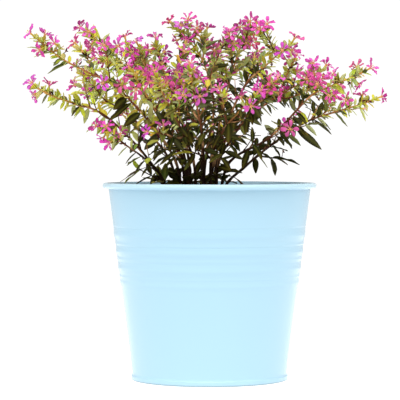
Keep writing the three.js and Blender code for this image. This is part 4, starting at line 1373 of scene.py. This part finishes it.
def grow_twigs(skin, owner, stem):
    """The frame's leafy twigs, and their routes."""
    twigs = []
    index = 0
    distance = stem.length * TWIG_START
    while distance < stem.length - TWIG_MARGIN:
        index += 1
        side = TWIG_SIDE if index % 2 else -TWIG_SIDE
        first = side + TWIG_WANDER * draw(owner, index, DRAWS["twig_turn"])
        length = between(TWIG_LENGTH, owner, index, DRAWS["twig_length"])
        twig = twig_route(owner, stem, distance, first, length)
        if twig:
            space.take_along(owner, twig, 0, twig.length, SHOOT_BASE_RADIUS)
            add_wood(skin, twig, *TWIG_RADII, TWIG_SIDES)
            grow_pair(skin, owner, twig, twig.length * TWIG_PAIR_AT, index, DRAWS["twig_pair"])
            keys = [owner, index, DRAWS["twig_end"]]
            grow_leaf(skin, owner, twig, twig.length * TWIG_END_LEAF_AT, first, keys)
            twigs.append(twig)
        distance += TWIG_STEP
    return twigs


def grow_stem(skin, owner, route, shoots):
    """A stem with what the frame gives it. Returns its twigs."""
    add_wood(skin, route, STEM_BASE_RADIUS, STEM_TIP_RADIUS, STEM_SIDES, STEM_DEPTH + STEM_STRAIGHT)
    for i, (shoot, _) in enumerate(shoots):
        if shoot and SPRAYS[i][0] == owner:
            add_wood(skin, shoot, SHOOT_BASE_RADIUS, SHOOT_TIP_RADIUS, SHOOT_SIDES)
            grow_pair(skin, owner, shoot, shoot.length * SHOOT_PAIR_AT, i, DRAWS["shoot_pair"])
    for old in OLD_LEAVES:
        if old["stem"] == owner:
            grow_old_leaf(skin, owner, route, old)
    index = 0
    distance = LEAF_START
    while distance < route.length - LEAF_MARGIN:
        index += 1
        grow_pair(skin, owner, route, distance, index, DRAWS["stem_pair"])
        distance += LEAF_STEP
    return grow_twigs(skin, owner, route)


def grow_spray(skin, owner, axis, count):
    """The frame's flowers around a spray's axis."""
    points = [axis.at(distance)[0] for distance in np.linspace(0, axis.length, len(SPRAY_AXIS_RADII))]
    rod(skin, points, SPRAY_AXIS_RADII, [wood_tint(point, 1.0) for point in points], TWIG_SIDES)
    for i in range(count):
        rule = TOP_FLOWER if i == count - 1 else SIDE_FLOWERS
        along = rule["along"] + rule.get("step", 0) * i
        first = i * GOLDEN_ANGLE + 2 * math.pi * draw(owner, DRAWS["spray_turn"])
        turn = 2 * math.pi * draw(owner, i, DRAWS["flower_turn"])
        point, tangent = axis.at(axis.length * along)
        flower = roomiest_flower(owner, point, tangent, rule["tilt"], first, turn)
        space.take(owner, flower_balls(flower), PETAL_BALL["radius"])
        add_flower(skin, flower)


def grow_spray_extras(skin, owner, axis):
    """Bright young leaves, buds and withered flowers around a spray."""
    dress(skin, owner, axis, -1, axis.length, TUFT_LEAVES)
    for _ in range(SPRAY_BUDS):
        point, tangent = axis.at(axis.length * rng.uniform(0.2, 0.95))
        direction = unit(tangent * 0.7 + random_around(tangent) + UP * 0.2)
        add_bud(skin, point, direction, rng.uniform(*SPRAY_BUD), rng.random())
    for _ in range(SPRAY_WITHERED):
        if rng.random() < WITHERED_CHANCE:
            point, tangent = axis.at(axis.length * rng.uniform(0.0, 0.7))
            direction = unit(tangent * 0.4 + random_around(tangent))
            add_bud(skin, point, direction, rng.uniform(*WITHERED_AT_SPRAY), -1)


# What the photograph shows, and the rest of the growth that only the looks have
EYE = np.array(CAMERA_PLACE)


def sight_ray(pixel):
    """The direction in which the camera sees a pixel of the photograph."""
    forward = unit(np.array(CAMERA_TARGET) - EYE)
    right = unit(cross(forward, UP))
    focal = PHOTO_SIDE * CAMERA_LENS / CAMERA_SENSOR
    across, down = pixel[0] - PHOTO_SIDE / 2, pixel[1] - PHOTO_SIDE / 2
    return unit(forward * focal + right * across - cross(right, forward) * down)


def sight_point(pixel, depth):
    """The point that the camera sees at a pixel, at a depth along Y."""
    ray = sight_ray(pixel)
    return EYE + ray * ((depth - EYE[1]) / ray[1])


def seen_wood(pixel, wood, front, aside=0):
    """The wood point that best bears what is seen at a pixel, and the place seen there before it."""
    ray = sight_ray(pixel)
    along = (wood - EYE) @ ray
    off = np.linalg.norm(wood - EYE - along[:, None] * ray, axis=1)
    nearest = np.argmin(np.abs(off - aside) + front * wood[:, 1])
    return nearest, EYE + ray * (along[nearest] - SIGHT_LIFT)


def add_single_flower(skin, host, flower, droop):
    """A flower with a leafy short shoot that bears it from a point of wood."""
    shoot = Route([host, (host + flower.foot) / 2 - UP * droop, flower.foot])
    add_wood(skin, shoot, *SINGLE_RADII, THIN_SIDES, step=SINGLE_STEP)
    dress(skin, SINGLE_OWNER, shoot, 0, shoot.length + 1, TUFT_LEAVES)
    add_flower(skin, flower)
    space.take(SINGLE_OWNER, flower_balls(flower), PETAL_BALL["radius"])


def grow_single_flower(skin, pixel, wood):
    """A flower seen at a pixel, on a short shoot from the wood nearest to that line of sight."""
    nearest, centre = seen_wood(pixel, wood, FLOWER_FRONT, SINGLE_ASIDE)
    outward = SINGLE_OUTWARD * unit(centre - wood[nearest])
    direction = strayed(outward - SINGLE_TO_EYE * sight_ray(pixel) + SINGLE_RISE * UP, SINGLE_STRAY)
    flower = Flower(centre - direction * CALYX_LENGTH, direction, rng.uniform(0, 2 * math.pi))
    add_single_flower(skin, wood[nearest], flower, SINGLE_DROOP)


def gather_wood(routes, shoots, twigs):
    """Points along the wood above its lowest part, with the stem that each is part of."""
    lines = [(route.points[FIRST_BEARING:], i + 1) for i, route in enumerate(routes)]
    lines += [(shoot.points, SPRAYS[i][0]) for i, (shoot, _) in enumerate(shoots) if shoot]
    lines += [(twig.points, i + 1) for i, those in enumerate(twigs) for twig in those]
    wood = np.vstack([points for points, _ in lines])
    owners = np.concatenate([np.full(len(points), owner) for points, owner in lines])
    return wood, owners


def grow_seen_leaf(skins, seen, wood, owners):
    """A leaf with its tip seen at a pixel, on the wood nearest to where its foot is seen."""
    foot_pixel, tip_pixel, half_width, turned, tone = seen
    nearest, _ = seen_wood(foot_pixel, wood, LEAF_FRONT)
    foot = wood[nearest]
    tip = sight_point(tip_pixel, foot[1] + rng.uniform(*TIP_DEPTHS))
    seen_length = np.linalg.norm(tip - sight_point(foot_pixel, foot[1]))
    half_width = half_width * min(1.0, seen_length / length_of(tip - foot))
    direction, length, droop = arched(foot, tip, SEEN_DROOP)
    flat = square_to(-sight_ray(foot_pixel), direction)
    edge = unit(cross(direction, flat))
    face = flat * math.cos(math.radians(turned)) + edge * math.sin(math.radians(turned))
    leaf = Leaf(foot, direction, -face if face[2] < 0 else face, length, droop, half_width)
    place_leaf(skins[owners[nearest] - 1], owners[nearest], leaf, LEAF_TONES[tone])


def grow_withered_bit(skins, pixel, wood, owners):
    """Withered flowers at a pixel, on a thin stalk from the nearest wood."""
    nearest, end = seen_wood(pixel, wood, WITHERED_FRONT)
    foot = wood[nearest]
    skin = skins[owners[nearest] - 1]
    stalk = [foot, (foot + end) / 2 + UP * STALK_RADII[0], end]
    rod(skin, stalk, STALK_RADII, [WITHERED] * 3, THIN_SIDES)
    for _ in range(WITHERED_TOGETHER):
        direction = strayed(0.5 * unit(end - foot), 1)
        add_bud(skin, end - direction * 0.8, direction, rng.uniform(*WITHERED_SEEN), -1)


def grow_rear_flower(skin, wood):
    """A flower on a short shoot at the plant's rear, where there is most room of a few places."""
    tries = []
    for _ in range(REAR_TRIES):
        host = wood[rng.integers(len(wood))]
        outward = unit(np.array([REAR_SIDEWAYS * host[0], host[1], REAR_RISE * abs(host[1])]))
        direction = strayed(outward, REAR_STRAY)
        foot = host + direction * rng.uniform(*REAR_SHOOT)
        flower = Flower(foot, direction, rng.uniform(0, 2 * math.pi))
        tries.append(((host, flower), flower_balls(flower)))
    host, flower = space.roomiest(SINGLE_OWNER, tries, PETAL_BALL["radius"])[0]
    add_single_flower(skin, host, flower, REAR_DROOP)


def take_wood_room(routes, shoots):
    """The room that the frame's stems, shoots and sprays' axes take, before anything grows on them."""
    for i, route in enumerate(routes):
        space.take_along(i + 1, route, 0, route.length - END_MARGIN, STEM_BASE_RADIUS)
    for i, (shoot, axis) in enumerate(shoots):
        if shoot:
            space.take_along(SPRAYS[i][0], shoot, 0, shoot.length - END_MARGIN, SHOOT_BASE_RADIUS)
        space.take_along(SPRAY_OWNERS + i, axis, AXIS_MARGIN, axis.length, SPRAY_AXIS_RADIUS)


def grow_stem_extras(skin, owner, route, twigs):
    """More leaves along a stem and its twigs, and thin twigs of its own."""
    dress(skin, owner, route, BASE_FROM, BASE_TO, BASE_LEAVES)
    dress(skin, owner, route, BASE_TO, route.length - TUFT_LENGTH, STEM_LEAVES)
    dress(skin, owner, route, route.length - TUFT_LENGTH, route.length, TUFT_LEAVES)
    for twig in twigs:
        dress(skin, owner, twig, TWIG_BARE, twig.length + 1, TWIG_LEAVES)
    distance = EXTRA_TWIGS["from"] * route.length
    while distance < route.length - EXTRA_TWIGS["margin"]:
        shortening = mix(*EXTRA_TWIG_SHORTENING, distance / route.length)
        extra_twig(skin, owner, route, distance, rng.uniform(*EXTRA_TWIGS["length"]) * shortening)
        distance += rng.uniform(*EXTRA_TWIGS["step"])


def grow_shoot_extras(stem_skins, spray_skins, shoots):
    """More leaves along the side shoots, and what stands around the sprays."""
    for i, (shoot, axis) in enumerate(shoots):
        grow_spray_extras(spray_skins[i], SPRAY_OWNERS + i, axis)
        if shoot:
            stem = SPRAYS[i][0]
            tuft = max(SHOOT_BARE, shoot.length - TUFT_LENGTH)
            dress(stem_skins[stem - 1], stem, shoot, SHOOT_BARE, tuft, SHOOT_LEAVES)
            dress(stem_skins[stem - 1], stem, shoot, tuft, shoot.length, TUFT_LEAVES)


def grow_rear_flowers(skin, wood):
    rear = wood[(wood[:, 1] > REAR_FROM) & (wood[:, 2] > REAR_LOW) & (wood[:, 2] < REAR_HIGH)]
    rear = rear[np.abs(rear[:, 0]) < REAR_SIDE]
    for _ in range(REAR_FLOWERS):
        grow_rear_flower(skin, rear)


def grow_plant(materials):
    """The plant: what the frame has, in its order, then what the photograph shows, then the rest."""
    routes = [stem_route(*stem) for stem in STEMS]
    shoots = fine_shoots(routes)
    take_wood_room(routes, shoots)
    stem_skins = [Skin() for _ in STEMS]
    spray_skins = [Skin() for _ in SPRAYS]
    single_skin = Skin()
    for i, (_, _, count) in enumerate(SPRAYS):
        grow_spray(spray_skins[i], SPRAY_OWNERS + i, shoots[i][1], count)
    twigs = [grow_stem(stem_skins[i], i + 1, route, shoots) for i, route in enumerate(routes)]
    wood, owners = gather_wood(routes, shoots, twigs)
    for seen in SEEN_LEAVES:
        grow_seen_leaf(stem_skins, seen, wood, owners)
    for pixel in WITHERED_BITS:
        grow_withered_bit(stem_skins, pixel, wood, owners)
    for pixel in SINGLE_FLOWERS:
        grow_single_flower(single_skin, pixel, wood)
    grow_shoot_extras(stem_skins, spray_skins, shoots)
    for i, route in enumerate(routes):
        grow_stem_extras(stem_skins[i], i + 1, route, twigs[i])
    grow_rear_flowers(single_skin, wood)
    piece = single_skin.build("single_flowers", materials)
    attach(piece, "root")
    finish_skins(stem_skins, "leafy_stem", materials)
    finish_skins(spray_skins, "flower_spray", materials)


def finish_skins(skins, node, materials):
    for i, skin in enumerate(skins):
        name = f"{node}_{i + 1:02d}"
        finish_piece(skin.build("fine_" + name, materials), name)


def finish_piece(piece, node):
    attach(piece, "root")
    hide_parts(node)


# Studio
ROOM_LIGHT = 0.72
ROOM_WHITE = 1.05
FLOOR_WHITE = (0.35, 0.35, 0.35)
FLOOR_GLOW = 1.2
FLOOR_RADIUS = 0.8
WHITE = (1, 1, 1, 1)

# Large far lamps: how high each stands, how far round from the plant's front to its right, how wide it looks,
# all in degrees, and its strength.
SUNS = {
    "left_light": (48, -52, 60, 1.45),
    "right_light": (48, 52, 60, 1.35),
    "top_light": (70, 0, 24, 1.45),
}


def add_camera():
    camera = add_object("camera", bpy.data.cameras.new("camera"))
    place = np.array(CAMERA_PLACE) * MM
    aim = np.array(CAMERA_TARGET) * MM - place
    camera.location = place
    camera.rotation_euler = (math.atan2(math.hypot(aim[0], aim[1]), -aim[2]), 0, math.atan2(-aim[0], aim[1]))
    camera.data.lens = CAMERA_LENS
    camera.data.sensor_width = CAMERA_SENSOR
    camera.data.clip_end = 20
    bpy.context.scene.camera = camera


def add_sun(name, elevation, azimuth, angle, strength):
    light = bpy.data.lights.new(name, "SUN")
    light.energy = strength
    light.angle = math.radians(angle)
    lamp = add_object(name, light)
    lamp.rotation_euler = (math.radians(90 - elevation), 0, math.radians(azimuth))


def add_world():
    """A white room that lights the plant softly."""
    world = bpy.data.worlds.new("studio")
    world.use_nodes = True
    tree = world.node_tree
    path = tree.nodes.new("ShaderNodeLightPath")
    strength = add_node(tree, "ShaderNodeMapRange", {"To Min": ROOM_LIGHT, "To Max": ROOM_WHITE})
    tree.links.new(path.outputs["Is Camera Ray"], strength.inputs["Value"])
    background = tree.nodes["Background"]
    set_values(background, {"Color": WHITE})
    tree.links.new(strength.outputs["Result"], background.inputs["Strength"])
    bpy.context.scene.world = world


def add_studio():
    """A plain white floor under the pot, the room and its lamps."""
    bpy.ops.mesh.primitive_circle_add(vertices=96, radius=FLOOR_RADIUS, fill_type="NGON", location=(0, 0, 0))
    floor = bpy.context.object
    floor.name = "studio_floor"
    glow = {"Emission Color": WHITE, "Emission Strength": FLOOR_GLOW}
    white = new_material("studio_white", {"Base Color": (*FLOOR_WHITE, 1), "Roughness": 0.9, **glow})[0]
    floor.data.materials.append(white)
    add_world()
    for name, place in SUNS.items():
        add_sun(name, *place)
    bpy.context.scene.view_settings.view_transform = "Standard"


paints = [paint_material(name, *look) for name, look in PAINT_LOOKS.items()]
pot = revolved("fine_pot_wall", pot_profile(), POT_SIDES, paints)
finish_piece(pot, "pot_wall")
soil = soil_piece(soil_material())
finish_piece(soil, "soil")
grow_plant([plant_material(name, *look) for name, look in PLANT_LOOKS.items()])
add_studio()
add_camera()
